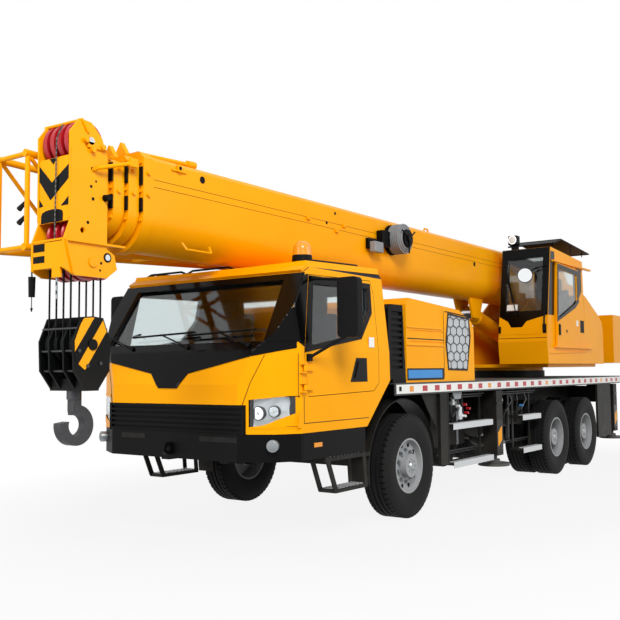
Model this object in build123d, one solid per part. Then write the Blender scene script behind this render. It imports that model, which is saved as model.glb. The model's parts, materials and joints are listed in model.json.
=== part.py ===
"""Three-axle truck crane: carrier, superstructure, four-section boom, hook and outriggers.

Millimetres, +X forward, +Y to the left of the vehicle, +Z up, ground at Z = 0.
The origin lies on the ground under the middle of the overall box.
A "station" is a distance along X from the front axle, positive forward.
"""
from build123d import *
import math
import os

os.makedirs("parts", exist_ok=True)

# ------------------------------------------------------------------ driving sizes
slew_station = -5500.0
tail_radius = 3250.0     # swept by the counterweight
head_front = 3660.0      # foremost station, on the boom head
front_axle_x = (tail_radius - slew_station - head_front) / 2
rear_axle_stations = (-4425.0, -5775.0)
pin_gap = 0.3            # running clearance at pins, rods and wear pads
panel_gap = 6.0          # clearance round doors and other moving panels

tyre_radius = 542.0
tyre_width = 295.0
bead_width = 250.0
rim_radius = 286.0
wheel_y = 1092.0         # middle plane of an outer tyre
twin_pitch = 340.0
spindle_radius = 45.0
kingpin_y = 920.0
kingpin_radius = 30.0

body_half_width = 1220.0
deck_top = 1410.0
deck_plate = 12.0
deck_edge = 130.0
deck_front = 280.0
deck_rear = -7730.0
frame_half_width = 420.0
frame_bottom = 760.0
frame_front = 330.0
rail_y = (330.0, 430.0)
rail_top = 960.0
cab_bottom = 1000.0

beam_width = 180.0
beam_height = 250.0
beam_bottom = 965.0
beam_travel = 1800.0
box_wall = 12.0
jack_travel = 550.0
foot_bottom = 320.0
column_size = 190.0
column_bottom = 450.0

cab_wall = 60.0
door_glass_thickness = 6.0
door_swing = 70.0
skirt_bottom = 760.0

boom_axis_z = 3010.0
boom_pivot_station = -7100.0
boom_pivot_z = 3100.0
boom_wall = 10.0
boom_travel = 7600.0
collar_length = 130.0
collar_start = 2800.0
boom_pin_radius = 70.0
lift_angle = 80.0
lift_base = (-6500.0, 1800.0)
lift_eye = (-4100.0, 2420.0)

ring_top = 1520.0
base_plate_bottom = 1570.0
base_plate_top = 1620.0
side_plate_y = (335.0, 365.0)
counterweight_top = 2490.0

hang_station = 3380.0
hang_z = 2440.0
fall_radius = 150.0


# ------------------------------------------------------------------ helpers
def stn(station):
    """X of a station."""
    return front_axle_x + station


def box(stations, ys, zs):
    """A block between two stations, two Y values and two Z values."""
    low = (stn(min(stations)), min(ys), min(zs))
    high = (stn(max(stations)), max(ys), max(zs))
    size = [high[i] - low[i] for i in range(3)]
    middle = [(high[i] + low[i]) / 2 for i in range(3)]
    return Pos(*middle) * Box(*size)


def side_face(points, y):
    """A face from (station, z) points in the plane at y; it extrudes towards -Y."""
    plane = Plane(origin=(0, y, 0), x_dir=(1, 0, 0), z_dir=(0, -1, 0))
    return plane * make_face(Polyline(*[(stn(s), z) for s, z in points], close=True))


def side_prism(points, ys):
    """An outline of (station, z) points, swept between two Y values."""
    return extrude(side_face(points, max(ys)), amount=max(ys) - min(ys))


def plan_prism(points, zs):
    """An outline of (station, y) points, swept between two Z values."""
    face = make_face(Polyline(*[(stn(s), y) for s, y in points], close=True))
    return extrude(Pos(0, 0, min(zs)) * face, amount=max(zs) - min(zs))


def front_prism(points, stations):
    """An outline of (y, z) points, swept between two stations."""
    plane = Plane(origin=(stn(min(stations)), 0, 0), x_dir=(0, 1, 0), z_dir=(1, 0, 0))
    face = plane * make_face(Polyline(*points, close=True))
    return extrude(face, amount=max(stations) - min(stations))


def rod_y(station, z, radius, ys):
    """A round bar along Y."""
    middle = (stn(station), (ys[0] + ys[1]) / 2, z)
    return Pos(*middle) * Rot(90, 0, 0) * Cylinder(radius, abs(ys[1] - ys[0]))


def rod_z(station, y, radius, zs):
    """A round bar along Z."""
    return Pos(stn(station), y, (zs[0] + zs[1]) / 2) * Cylinder(radius, abs(zs[1] - zs[0]))


def rod_x(y, z, radius, stations):
    """A round bar along X."""
    middle = (stn((stations[0] + stations[1]) / 2), y, z)
    return Pos(*middle) * Rot(0, 90, 0) * Cylinder(radius, abs(stations[1] - stations[0]))


def strut(start, end, radius):
    """A round bar between two (station, y, z) points."""
    a = Vector(stn(start[0]), start[1], start[2])
    b = Vector(stn(end[0]), end[1], end[2])
    plane = Plane(origin=a, z_dir=(b - a).normalized())
    return extrude(plane * Circle(radius), amount=(b - a).length)


def both_sides(shape):
    """A left-hand piece and its mirror image."""
    return [shape, mirror(shape, about=Plane.XZ)]


def solids_of(shapes):
    """All solids of a list of shapes, as one flat list."""
    return [solid for shape in shapes for solid in shape.solids()]


def write(name, *shapes):
    """Write one node from its shapes."""
    solids = solids_of(shapes)
    export_step(solids[0] if len(solids) == 1 else Compound(solids), f"parts/{name}.step")


# ------------------------------------------------------------------ carrier frame and deck
pedestal_radius = 620.0
# name, front and rear station, inner channel nearer the front belongs to the left beam
outrigger_rows = (
    ("front", -2250.0),
    ("rear", -7300.0),
)
box_height = (beam_bottom - 3.0 - box_wall, beam_bottom + beam_height + 3.0 + box_wall)
channel_pitch = beam_width + 6.0 + box_wall
box_length = 2 * channel_pitch + box_wall


def channel_station(row_station, side):
    """Middle station of the beam channel on one side of an outrigger box."""
    first = row_station - box_wall - 3.0 - beam_width / 2
    return first if side > 0 else first - channel_pitch


def build_chassis_frame():
    girder = box((frame_front, deck_rear + 15), (-frame_half_width, frame_half_width),
                 (frame_bottom, deck_top - deck_plate))
    for _, station in outrigger_rows:
        girder -= box((station, station - box_length), (-2000, 2000), box_height)
    # axle tunnel over the rear bogie and the front axle
    for station in rear_axle_stations:
        girder -= box((station - 300, station + 300), (-2000, 2000), (frame_bottom - 1, 840))
    pedestal = rod_z(slew_station, 0, pedestal_radius, (deck_top - deck_plate, ring_top))
    girder += pedestal
    rail = box((frame_front - 400, 1980), rail_y, (700, rail_top))
    # cab mounts
    for station in (950, 1850):
        rail += box((station - 50, station + 50), (rail_y[0] + 10, rail_y[1] - 10),
                    (rail_top, cab_bottom - pin_gap))
    cross = [box((s - 40, s + 40), (-430, 430), (740, 920)) for s in (1000, 1900)]
    frame = girder + both_sides(rail) + cross
    for station in (-850, -1700, -3050, -3600, -5100, -6550):
        arm = box((station - 30, station + 30), (415, 1200), (1300, deck_top - deck_plate))
        frame += both_sides(arm)
    return frame + build_outrigger_boxes()


def build_deck():
    half = body_half_width
    plate = box((deck_front, deck_rear), (-half, half), (deck_top - deck_plate, deck_top))
    plate -= rod_z(slew_station, 0, pedestal_radius + 10, (deck_top - 50, deck_top + 50))
    edge = box((deck_front, deck_rear), (half - 15, half), (deck_top - deck_edge, deck_top))
    tail = box((deck_rear, deck_rear + 15), (-half, half), (deck_top - deck_edge, deck_top))
    return plate + both_sides(edge) + tail


def build_outrigger_boxes():
    boxes = []
    for _, station in outrigger_rows:
        shell = box((station, station - box_length), (-1015, 1015), box_height)
        for side in (1, -1):
            middle = channel_station(station, side)
            shell -= box((middle - beam_width / 2 - 3, middle + beam_width / 2 + 3), (-1100, 1100),
                         (beam_bottom - 3, beam_bottom + beam_height + 3))
            # bottom wear pads at both mouths
            pad = box((middle - 60, middle + 60), (side * 915, side * 1015),
                      (beam_bottom - 3, beam_bottom - pin_gap))
            shell += pad
        boxes.append(shell)
    return boxes


def build_beam(row_station, side):
    """One outrigger beam with its jack column, in the stowed place."""
    middle = channel_station(row_station, side)
    bar = box((middle - beam_width / 2, middle + beam_width / 2), (side * 1080, -side * 950),
              (beam_bottom, beam_bottom + beam_height))
    half = column_size / 2
    column = box((middle - half, middle + half), (side * (1220 - column_size), side * 1220),
                 (column_bottom, 1270))
    bore_y = side * (1220 - half)
    beam = bar + column
    beam -= rod_z(middle, bore_y, 62, (column_bottom - 10, column_bottom + 640))
    beam += rod_z(middle, bore_y, 75, (column_bottom, column_bottom + 40))
    beam -= rod_z(middle, bore_y, 45 + pin_gap, (column_bottom - 10, column_bottom + 700))
    return beam


def build_jack(row_station, side):
    """Jack rod with its round foot."""
    middle = channel_station(row_station, side)
    y = side * (1220 - column_size / 2)
    rod = rod_z(middle, y, 45, (foot_bottom + 30, column_bottom + 660))
    foot = rod_z(middle, y, 200, (foot_bottom, foot_bottom + 35))
    cup = rod_z(middle, y, 80, (foot_bottom + 30, foot_bottom + 80))
    return rod + foot + cup


# ------------------------------------------------------------------ axles and wheels
def build_axles():
    pieces = []
    # front beam with kingpin eyes and two leaf springs
    front = box((-50, 50), (-870, 870), (500, 590))
    for side in (1, -1):
        front += rod_z(0, side * kingpin_y, 60, (500, 584))
        front -= rod_z(0, side * kingpin_y, kingpin_radius + pin_gap, (480, 620))
        leaf = side_prism([(-700, 700 - pin_gap), (-250, 620), (250, 620), (700, 700 - pin_gap),
                           (700, 660), (250, 590), (-250, 590), (-700, 660)],
                          (side * 340, side * 420))
        front += leaf
    pieces.append(front)
    # rear bogie: two housings, spindles, walking springs and their trunnions
    bogie_middle = sum(rear_axle_stations) / 2
    bogie = None
    for station in rear_axle_stations:
        housing = rod_y(station, tyre_radius, 85, (-590, 590))
        housing += rod_y(station, tyre_radius, spindle_radius, (-wheel_y, wheel_y))
        bowl = Pos(stn(station), 0, tyre_radius) * Sphere(190)
        housing += bowl
        bogie = housing if bogie is None else bogie + housing
    front_station, rear_station = rear_axle_stations
    for side in (1, -1):
        spring = side_prism([(front_station + 120, 600), (front_station + 120, 640),
                             (bogie_middle + 200, 730), (bogie_middle - 200, 730),
                             (rear_station - 120, 640), (rear_station - 120, 600),
                             (bogie_middle - 200, 650), (bogie_middle + 200, 650)],
                            (side * 470, side * 560))
        hanger = box((bogie_middle - 110, bogie_middle + 110), (side * 420, side * 560),
                     (730, 900))
        bogie += spring + hanger
    pieces.append(bogie)
    return pieces


def build_knuckle(side):
    """Steering knuckle: fork, kingpin and spindle."""
    fork = None
    for low, high in ((440, 494), (590, 644)):
        arm = rod_z(0, side * kingpin_y, 55, (low, high))
        arm += box((-50, 50), (side * kingpin_y, side * 1010), (low, high))
        fork = arm if fork is None else fork + arm
    fork += box((-50, 50), (side * 988, side * 1010), (440, 644))
    fork += rod_z(0, side * kingpin_y, kingpin_radius, (440, 644))
    fork += rod_y(0, tyre_radius, spindle_radius, (side * 1000, side * (wheel_y + 60)))
    return fork


def revolve_about_y(points, station, z):
    """Revolve (y, radius) points about a wheel's axis."""
    plane = Plane(origin=(stn(station), 0, z), x_dir=(0, 1, 0), z_dir=(1, 0, 0))
    face = plane * make_face(Polyline(*points, close=True))
    return revolve(face, axis=Axis((stn(station), 0, z), (0, 1, 0)))


def tyre(station, y):
    """One tyre ring; its widest point is at mid sidewall."""
    bead = bead_width / 2
    wide = tyre_width / 2
    points = [(y - bead, rim_radius), (y + bead, rim_radius), (y + wide, 430),
              (y + wide - 32, tyre_radius), (y - wide + 32, tyre_radius), (y - wide, 430)]
    return revolve_about_y(points, station, tyre_radius)


def rim(station, y, side, dish):
    """Rim well and disc; dish is how far outwards the disc sits from the middle plane."""
    edge = rim_radius - pin_gap
    bead = bead_width / 2
    disc = y + side * dish
    well = [(y - bead, edge), (y + bead, edge), (y + bead, edge - 18),
            (y + bead - 60, edge - 34), (y - bead + 60, edge - 34), (y - bead, edge - 18)]
    barrel = revolve_about_y(well, station, tyre_radius)
    plate = [(disc - 9, 40), (disc - 9, edge - 20), (disc + 9, edge - 20), (disc + 9, 40)]
    return barrel + revolve_about_y(plate, station, tyre_radius)


def build_rim(station, side, twin):
    if twin:
        wheel = rim(station, side * wheel_y, side, -85)
        wheel += rim(station, side * (wheel_y - twin_pitch), side, 85)
        hub_in, hub_out = side * (wheel_y - twin_pitch - 60), side * (wheel_y + 90)
    else:
        wheel = rim(station, side * wheel_y, side, 60)
        hub_in, hub_out = side * (wheel_y - 60), side * (wheel_y + 150)
    wheel += rod_y(station, tyre_radius, 120, (hub_in, hub_out))
    bore_end = wheel_y + (0 if twin else 60)
    wheel -= rod_y(station, tyre_radius, spindle_radius + pin_gap,
                   (hub_in - side * 10, side * (bore_end + 5)))
    return wheel


# name, station, side, twin
wheel_rows = [("front_left", 0.0, 1, False), ("front_right", 0.0, -1, False)]
for row_name, row_station in zip(("middle", "rear"), rear_axle_stations):
    wheel_rows.append((f"{row_name}_left", row_station, 1, True))
    wheel_rows.append((f"{row_name}_right", row_station, -1, True))


# ------------------------------------------------------------------ carrier cab
cab_side = [(2270, cab_bottom), (2270, 1430), (2200, 1730), (1760, 2440), (1660, 2490),
            (410, 2530), (380, 1440), (830, cab_bottom)]
cab_plan = [(380, 1220), (1900, 1220), (2110, 1090), (2270, 800),
            (2270, -800), (2110, -1090), (1900, -1220), (380, -1220)]
cab_front = [(-1220, 900), (-1220, 1720), (-1150, 2480), (-1080, 2600),
             (1080, 2600), (1150, 2480), (1220, 1720), (1220, 900)]
door_outline = [(1790, 1320), (1855, 1700), (1700, 2415), (640, 2440), (600, 2300),
                (600, 1420), (700, 1345)]
door_window = [(1745, 1770), (1640, 2340), (690, 2360), (720, 2140), (930, 1900)]
door_hinge = (1868.0, 1238.0)


def cab_envelope(depth):
    """The cab's outer form, moved inwards by depth on every face."""
    side = offset(side_face(cab_side, 1500), -depth, kind=Kind.INTERSECTION) if depth else side_face(cab_side, 1500)
    plan = make_face(Polyline(*[(stn(s), y) for s, y in cab_plan], close=True))
    front_plane = Plane(origin=(stn(0), 0, 0), x_dir=(0, 1, 0), z_dir=(1, 0, 0))
    front = front_plane * make_face(Polyline(*cab_front, close=True))
    if depth:
        plan = offset(plan, -depth, kind=Kind.INTERSECTION)
        front = offset(front, -depth, kind=Kind.INTERSECTION)
    solid = extrude(side, amount=3000)
    solid = solid & extrude(plan, amount=3000)
    return solid & extrude(front, amount=3000)


def grown(points, amount):
    """A (station, z) outline grown (or shrunk) by amount, as points."""
    face = make_face(Polyline(*points, close=True))
    bigger = offset(face, amount, kind=Kind.INTERSECTION)
    wire = bigger.faces()[0].outer_wire()
    return [(v.X, v.Y) for v in ordered_vertices(wire)]


def ordered_vertices(wire):
    """The corners of a closed wire, in order."""
    return [edge.position_at(0) for edge in wire.order_edges()]


windscreen = [(-1010, 1800), (-960, 2380), (960, 2380), (1010, 1800)]
rear_window = [(-800, 1850), (-800, 2330), (800, 2330), (800, 1850)]
nose_cut = [(1935, 900), (2400, 900), (2400, 1727), (1935, 1727)]
lamp_cut = [(1950, 1060), (2400, 1060), (2400, 1330), (1950, 1330)]
grille_half = 860.0
grille_top = 1250.0
lamp_inner = grille_half + 25
skirt_joint = 1875.0     # where the front skirt meets the side panels


def build_cab():
    """All carrier-cab pieces, by node name."""
    wall = cab_envelope(0) - cab_envelope(cab_wall)
    pane = cab_envelope(27) - cab_envelope(27 + door_glass_thickness)
    screen = front_prism(windscreen, (1500, 2600))
    rear = front_prism(rear_window, (200, 700))
    wall -= screen
    wall -= rear
    glass = [pane & front_prism(grown(windscreen, -pin_gap), (1500, 2600)),
             pane & front_prism(grown(rear_window, -pin_gap), (200, 700))]
    # front well under the floor is open for the wheels and rails
    pieces = {"cab_glass": glass}
    for side, name in ((1, "left"), (-1, "right")):
        ys = (side * 1000, side * 1300)
        leaf = wall & side_prism(door_outline, ys)
        leaf -= side_prism(door_window, ys)
        pieces[f"cab_door_glass_{name}"] = [pane & side_prism(grown(door_window, -pin_gap), ys)]
        wall -= side_prism(grown(door_outline, panel_gap), ys)
        hinge_x, hinge_y = door_hinge
        bracket = None
        for z in (1400.0, 1570.0):
            eye = rod_z(hinge_x, side * hinge_y, 16, (z - 25, z + 25))
            strap = box((hinge_x - 110, hinge_x), (side * 1214, side * (hinge_y + 6)), (z - 25, z + 25))
            leaf += strap + eye
            leaf -= rod_z(hinge_x, side * hinge_y, 8 + pin_gap, (z - 40, z + 40))
            wall_arm = rod_z(hinge_x, side * hinge_y, 8, (z - 45, z + 45))
            for low, high in ((z - 45, z - 30), (z + 30, z + 45)):
                wall_arm += box((hinge_x - 12, hinge_x + 50), (side * 1190, side * (hinge_y + 12)),
                                (low, high))
            # clearance for the turning eye in the pillar
            wall -= rod_z(hinge_x, side * hinge_y, 22, (z - 30, z + 30))
            wall -= box((hinge_x - 112, hinge_x), (side * 1208, side * 1230), (z - 30, z + 30))
            bracket = wall_arm if bracket is None else bracket + wall_arm
        wall += bracket
        pieces[f"cab_door_{name}"] = [leaf]
    nose_block = side_prism(nose_cut, (-1300, 1300))
    nose = wall & nose_block
    wall -= nose_block
    nose -= box((2000, 2400), (-grille_half - 3, grille_half + 3), (900, grille_top + 3))
    lamps = []
    for side in (1, -1):
        ys = (side * lamp_inner, side * 1300)
        lamp_block = side_prism(lamp_cut, ys)
        outer = cab_envelope(2) - cab_envelope(110)
        lamps.append(outer & side_prism(grown(lamp_cut, -pin_gap), ys))
        nose -= lamp_block
    pieces["cab_shell"] = [wall]
    pieces["cab_nose"] = [nose]
    pieces["headlamps"] = lamps
    return pieces


def build_mirror(side):
    """Door mirror on two arms, seated on pads against the door."""
    def wall_y(z):
        return 1220 - 70 * (z - 1720) / 760

    housing = box((1520, 1600), (side * 1400, side * 1620), (1840, 2380))
    housing = fillet(housing.edges().filter_by(Axis.X), 45)
    low_pad = box((1765, 1825), (side * (1220 + pin_gap), side * 1246), (1630, 1695))
    top_pad = front_prism([(side * (wall_y(z) + out), z) for out, z in
                           ((pin_gap, 2362), (30, 2362), (30, 2402), (pin_gap, 2402))], (1645, 1690))
    arms = strut((1795, side * 1238, 1665), (1560, side * 1480, 1860), 14)
    arms += strut((1667, side * 1178, 2382), (1560, side * 1480, 2360), 14)
    return housing + low_pad + top_pad + arms


def build_bumper():
    """Front skirt with the grille insert and the tow lug."""
    face = make_face(Polyline(*[(stn(s), y) for s, y in
                                [(skirt_joint, 1215), (1900, 1215), (2110, 1085), (2280, 800),
                                 (2280, -800), (2110, -1085), (1900, -1215), (skirt_joint, -1215)]],
                              close=True))
    skirt = extrude(Pos(0, 0, skirt_bottom) * face, amount=cab_bottom - pin_gap - skirt_bottom)
    skirt -= plan_prism([(800, 1150), (1880, 1150), (2060, 1040), (2210, 770),
                         (2210, -770), (2060, -1040), (1880, -1150), (800, -1150)], (700, 1100))
    grille = box((2200, 2262), (-grille_half, grille_half), (990, grille_top))
    for z in (1035, 1080, 1125, 1170, 1215):
        grille -= box((2240, 2300), (-grille_half + 30, grille_half - 30), (z - 12, z + 12))
    beam = box((1980, 2215), (-560, 560), (780, 940))
    bumper = skirt + grille + beam
    lug = rod_y(2330, 850, 55, (-20, 20)) + box((2215, 2330), (-20, 20), (795, 905))
    front = bumper + lug - rod_y(2330, 850, 26, (-30, 30))
    panel = box((860, skirt_joint - 3), (1150, 1215), (skirt_bottom, cab_bottom - pin_gap))
    return [front] + both_sides(panel)


def build_cab_interior():
    """Seats, dashboard and steering wheel."""
    floor = cab_bottom + cab_wall + pin_gap
    pieces = []
    for side in (1, -1):
        y = side * 560
        seat = box((900, 1400), (y - 250, y + 250), (1440, 1560))
        seat += box((980, 1320), (y - 180, y + 180), (floor, 1450))
        seat += side_prism([(760, 1500), (900, 1500), (820, 2120), (720, 2120)], (y - 240, y + 240))
        seat += side_prism([(730, 2110), (810, 2110), (800, 2300), (730, 2300)], (y - 130, y + 130))
        pieces.append(seat)
    dash = side_prism([(1560, 1200), (1960, 1200), (2010, 1690), (1700, 1700), (1600, 1560)],
                      (-grille_half - 10, grille_half + 10))
    dash += box((1620, 1940), (-grille_half, grille_half), (floor, 1210))
    column_ends = ((1680, 560, 1552.5), (1480, 560, 1790))
    dash -= strut(*column_ends, 25 + pin_gap)
    pieces.append(dash)
    steering = strut(*column_ends, 25)
    wheel_plane = Plane(origin=(stn(1480), 560, 1790), z_dir=(-0.64, 0, 0.77))
    steering += wheel_plane * Torus(225, 17)
    steering += wheel_plane * Box(40, 430, 20)
    pieces.append(steering)
    return pieces


# ------------------------------------------------------------------ hood, intake, tanks, steps
def build_engine_hood():
    outer = side_prism([(-20, 1410), (-20, 2250), (-80, 2320), (-1300, 2250), (-1640, 2120),
                        (-1700, 2020), (-1700, 1410)], (-1190, 1190))
    inner = side_prism([(-60, 1400), (-60, 2230), (-95, 2280), (-1290, 2210), (-1615, 2085),
                        (-1660, 2010), (-1660, 1400)], (-1150, 1150))
    hood = outer - inner
    for z in (1850, 1970):
        for side in (1, -1):
            hood -= box((-100, -880), (side * 1182, side * 1200), (z - 7, z + 7))
    return hood


def build_air_intake():
    pieces = []
    for side in (1, -1):
        block = side_prism([(350, 1450), (350, 2180), (300, 2230), (50, 2230), (0, 1450)],
                           (side * 850, side * 1190))
        block -= box((60, 290), (side * 1165, side * 1200), (1560, 2160))
        for index in range(9):
            z = 1590 + index * 62
            block += box((58, 292), (side * 1165, side * 1186), (z, z + 30))
        base = box((0, 270), (side * 850, side * 1190), (1410, 1450))
        pieces.append(block + base)
    return pieces


def build_tanks():
    pieces = []
    for side in (1, -1):
        # fuel tank and air receivers hang from the frame on straps
        tank = box((-1080, -1980), (side * (frame_half_width + pin_gap), side * 900), (620, 1240))
        pieces.append(tank)
    for station in (-3120, -3560):
        receiver = rod_y(station, 900, 130, (430, 1000))
        receiver += box((station - 30, station + 30), (420, 900), (1000, 1290))
        pieces.append(receiver)
    filter_box = box((-2900, -3850), (-frame_half_width - pin_gap, -950), (700, 1180))
    pieces.append(filter_box)
    return pieces


def tread(stations, y_outer, z, side):
    """One silver step tread."""
    return box(stations, (side * (y_outer - 190), side * y_outer), (z - 20, z + 15))


def build_steps():
    pieces = []
    step_top = skirt_bottom - pin_gap
    for side in (1, -1):
        # cab steps hang from the skirt
        frame = tread((880, 1540), 1215, 738, side)
        frame += tread((830, 1380), 1215, 440, side)
        for top, low in (((1540, 1480), (1390, 1330)), ((910, 860), (880, 830))):
            frame += side_prism([(top[0], step_top), (top[1], step_top), (low[1], 425), (low[0], 425)],
                                (side * 1025, side * 1040))
            frame += side_prism([(top[0], step_top), (top[1], step_top), (low[1], 425), (low[0], 425)],
                                (side * 1200, side * 1215))
        pieces.append(frame)
        # deck ladders: two rungs between hangers, ahead of and behind the front outrigger
        for front, rear in ((-1050, -2140), (-3150, -3800)):
            ladder = tread((front, rear), 1215, 900, side) + tread((front, rear), 1215, 460, side)
            for station in (front, rear + 50):
                ladder += box((station, station - 50), (side * 1040, side * 1055), (445, 1398))
            pieces.append(ladder)
    return pieces


def build_fenders():
    pieces = []
    for side in (1, -1):
        # arch over the front wheel
        arch = rod_y(0, tyre_radius, 702, (side * 930, side * 1149))
        arch -= rod_y(0, tyre_radius, 690, (side * 800, side * 1300))
        arch = arch & side_prism([(0, 542), (900, 380), (900, 700), (620, 1300), (-100, 1300)],
                                 (side * 900, side * 1250))
        # stay from the frame rail, ahead of the swept wheel
        arch += box((670, 740), (side * (rail_y[1] + pin_gap), side * 1149), (700, 740))
        bracket = box((-720, -932), (side * 1180, side * 1215), (470, 1280))
        rear_plate = box((-6420, -7140), (side * 1180, side * 1215), (400, 1280))
        bogie_guard = box((-3905, -6400), (side * 620, side * 1200), (1288, 1300 - pin_gap))
        pieces += [arch, bracket, rear_plate, bogie_guard]
    return pieces


# ------------------------------------------------------------------ superstructure
operator_bottom = base_plate_top + pin_gap
operator_side = [(-4270, operator_bottom), (-4230, 1950), (-4480, 3380), (-5930, 3290),
                 (-5980, operator_bottom)]
operator_inner_y = 420.0
operator_outer_y = 1185.0
operator_wall = 45.0
operator_door_outline = [(-4560, 1900), (-4640, 3150), (-5600, 3110), (-5600, 2330), (-5200, 1900)]
operator_door_window = [(-4620, 2180), (-4690, 3060), (-5520, 3030), (-5520, 2420), (-4980, 2180)]
operator_travel = 600.0
cover_front = -5980 - pin_gap
cover_side = [(cover_front, operator_bottom), (cover_front, 2750), (-6080, 2720), (-6750, 2430),
              (-6900, 2330), (-6950, 2220), (-6950, operator_bottom)]


def build_turntable():
    base = rod_z(slew_station, 0, 600, (ring_top + pin_gap, base_plate_bottom))
    plan = [(-4600, -560), (-4600, 1050), (-6900, 1050), (-6900, 500), (-7400, 500),
            (-7400, -560)]
    base += plan_prism(plan, (base_plate_bottom, base_plate_top))
    rest = counterweight_top + pin_gap
    side = [(-4700, 1600), (-4700, 2050), (-6750, 3350), (-7350, 3400), (-7600, 3120),
            (-8450, 3050), (-8450, rest), (-7410, rest), (-7410, 1600)]
    plate = side_prism(side, side_plate_y)
    plates = both_sides(plate)
    base += plates
    base += rod_y(boom_pivot_station, boom_pivot_z, boom_pin_radius, (-side_plate_y[1] - 20, side_plate_y[1] + 20))
    base += rod_y(lift_base[0], lift_base[1], 60, (-side_plate_y[0], side_plate_y[0]))
    for s in (-120, 120):
        lug = side_prism([(lift_base[0] - 200, 1600), (lift_base[0] - 90, lift_base[1] + 90),
                          (lift_base[0] + 90, lift_base[1] + 90), (lift_base[0] + 200, 1600)],
                         (s * 0.85, s * 1.2))
        base += lug
    return base


def operator_envelope(depth):
    """Operator's cab form moved inwards by depth."""
    face = side_face(operator_side, operator_outer_y - depth)
    if depth:
        face = offset(face, -depth, kind=Kind.INTERSECTION)
    return extrude(face, amount=operator_outer_y - operator_inner_y - 2 * depth)


def build_operator_cab():
    wall = operator_envelope(0) - operator_envelope(operator_wall)
    pane = operator_envelope(20) - operator_envelope(26)
    front_screen = [(520, 2080), (520, 3230), (1085, 3230), (1085, 2080)]
    roof_window = [(-4700, 520), (-4700, 1085), (-5500, 1085), (-5500, 520)]
    side_window = [(-4560, 2300), (-4660, 3200), (-5800, 3150), (-5800, 2300)]
    glass = []
    front_block = front_prism(front_screen, (-4700, -4000))
    wall -= front_block
    glass.append(pane & front_prism(grown(front_screen, -pin_gap), (-4700, -4000)))
    inner_ys = (operator_inner_y - 20, operator_inner_y + 100)
    wall -= side_prism(side_window, inner_ys)
    glass.append(pane & side_prism(grown(side_window, -pin_gap), inner_ys))
    wall -= plan_prism(roof_window, (3200, 3500))
    glass.append(pane & plan_prism(grown(roof_window, -pin_gap), (3200, 3500)))
    # doorway
    doorway = grown(operator_door_outline, -25)
    wall -= side_prism(doorway, (operator_outer_y - 100, operator_outer_y + 100))
    wall -= front_prism([(520, 2300), (520, 3150), (1085, 3150), (1085, 2300)], (-6100, -5800))
    glass.append(pane & front_prism(grown([(520, 2300), (520, 3150), (1085, 3150), (1085, 2300)], -pin_gap),
                                    (-6100, -5800)))
    # lower rail that carries the sliding door
    rail = box((-4500, -6240), (operator_outer_y, 1232), (1860, 1900 - pin_gap))
    rail += box((-4500, -6240), (operator_outer_y, 1232), (3160, 3185))
    wall += rail
    # floor block and seat
    seat_block = box((-4990, -5420), (600, 1010), (operator_bottom + 20, 2080))
    seat = seat_block + box((-4930, -5450), (560, 1050), (2060, 2180))
    seat += side_prism([(-5400, 2150), (-5520, 2150), (-5640, 2800), (-5540, 2800)], (570, 1040))
    wall += seat
    housing = side_prism(cover_side, (430, 1180))
    return [wall, housing], glass


def build_operator_door():
    ys = (operator_outer_y + 5, operator_outer_y + 40)
    leaf = side_prism(operator_door_outline, ys) - side_prism(operator_door_window, ys)
    middle = (ys[0] + ys[1]) / 2
    glass = side_prism(grown(operator_door_window, -pin_gap), (middle - 3, middle + 3))
    return leaf, glass


def build_counterweight():
    disc = rod_z(slew_station, 0, tail_radius, (1640, counterweight_top))
    block = disc & plan_prism([(-7420, -1220), (-7420, 1220), (-8600, 1220), (-8900, 900),
                               (-8900, -900), (-8600, -1220)], (1600, 2500))
    return block


def build_winches():
    pieces = []
    for station in (-7870, -8220):
        z = 2830
        reach = side_plate_y[0] - pin_gap
        drum = rod_y(station, z, 120, (-reach, reach))
        for y in (-300, 300):
            drum += rod_y(station, z, 168, (y - 12, y + 12))
        drum += rod_y(station, z, 150, (-250, 250))
        pieces.append(drum)
    return pieces


# ------------------------------------------------------------------ lift cylinder
def lift_vector(angle):
    """Length and slope of the lift cylinder with the boom raised by angle degrees."""
    dx = lift_eye[0] - boom_pivot_station
    dz = lift_eye[1] - boom_pivot_z
    turn = math.radians(angle)
    x = boom_pivot_station + dx * math.cos(turn) - dz * math.sin(turn)
    z = boom_pivot_z + dx * math.sin(turn) + dz * math.cos(turn)
    run, rise = x - lift_base[0], z - lift_base[1]
    return math.hypot(run, rise), math.degrees(math.atan2(rise, run))


lift_rest_length, lift_rest_slope = lift_vector(0)
lift_full_length, lift_full_slope = lift_vector(lift_angle)
lift_direction = (math.cos(math.radians(lift_rest_slope)), math.sin(math.radians(lift_rest_slope)))
lift_eye_radius = 110.0
lift_barrel_length = lift_rest_length - 230.0


def on_lift(distance):
    """The (station, 0, z) point at a distance from the cylinder's base pin."""
    return (lift_base[0] + lift_direction[0] * distance, 0.0,
            lift_base[1] + lift_direction[1] * distance)


def build_lift_cylinder():
    barrel = strut(on_lift(160), on_lift(lift_barrel_length), 125)
    barrel += strut(on_lift(60), on_lift(165), 85)
    barrel += rod_y(lift_base[0], lift_base[1], lift_eye_radius, (-95, 95))
    barrel -= rod_y(lift_base[0], lift_base[1], 60 + pin_gap, (-130, 130))
    barrel -= strut(on_lift(250), on_lift(lift_barrel_length + 10), 80 + pin_gap)
    return barrel


def build_lift_rod():
    rod = strut(on_lift(270), on_lift(lift_rest_length - 60), 80)
    rod += rod_y(lift_eye[0], lift_eye[1], 100, (-75, 75))
    rod += rod_y(lift_eye[0], lift_eye[1], 50, (-100 + pin_gap, 100 - pin_gap))
    return rod


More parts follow.
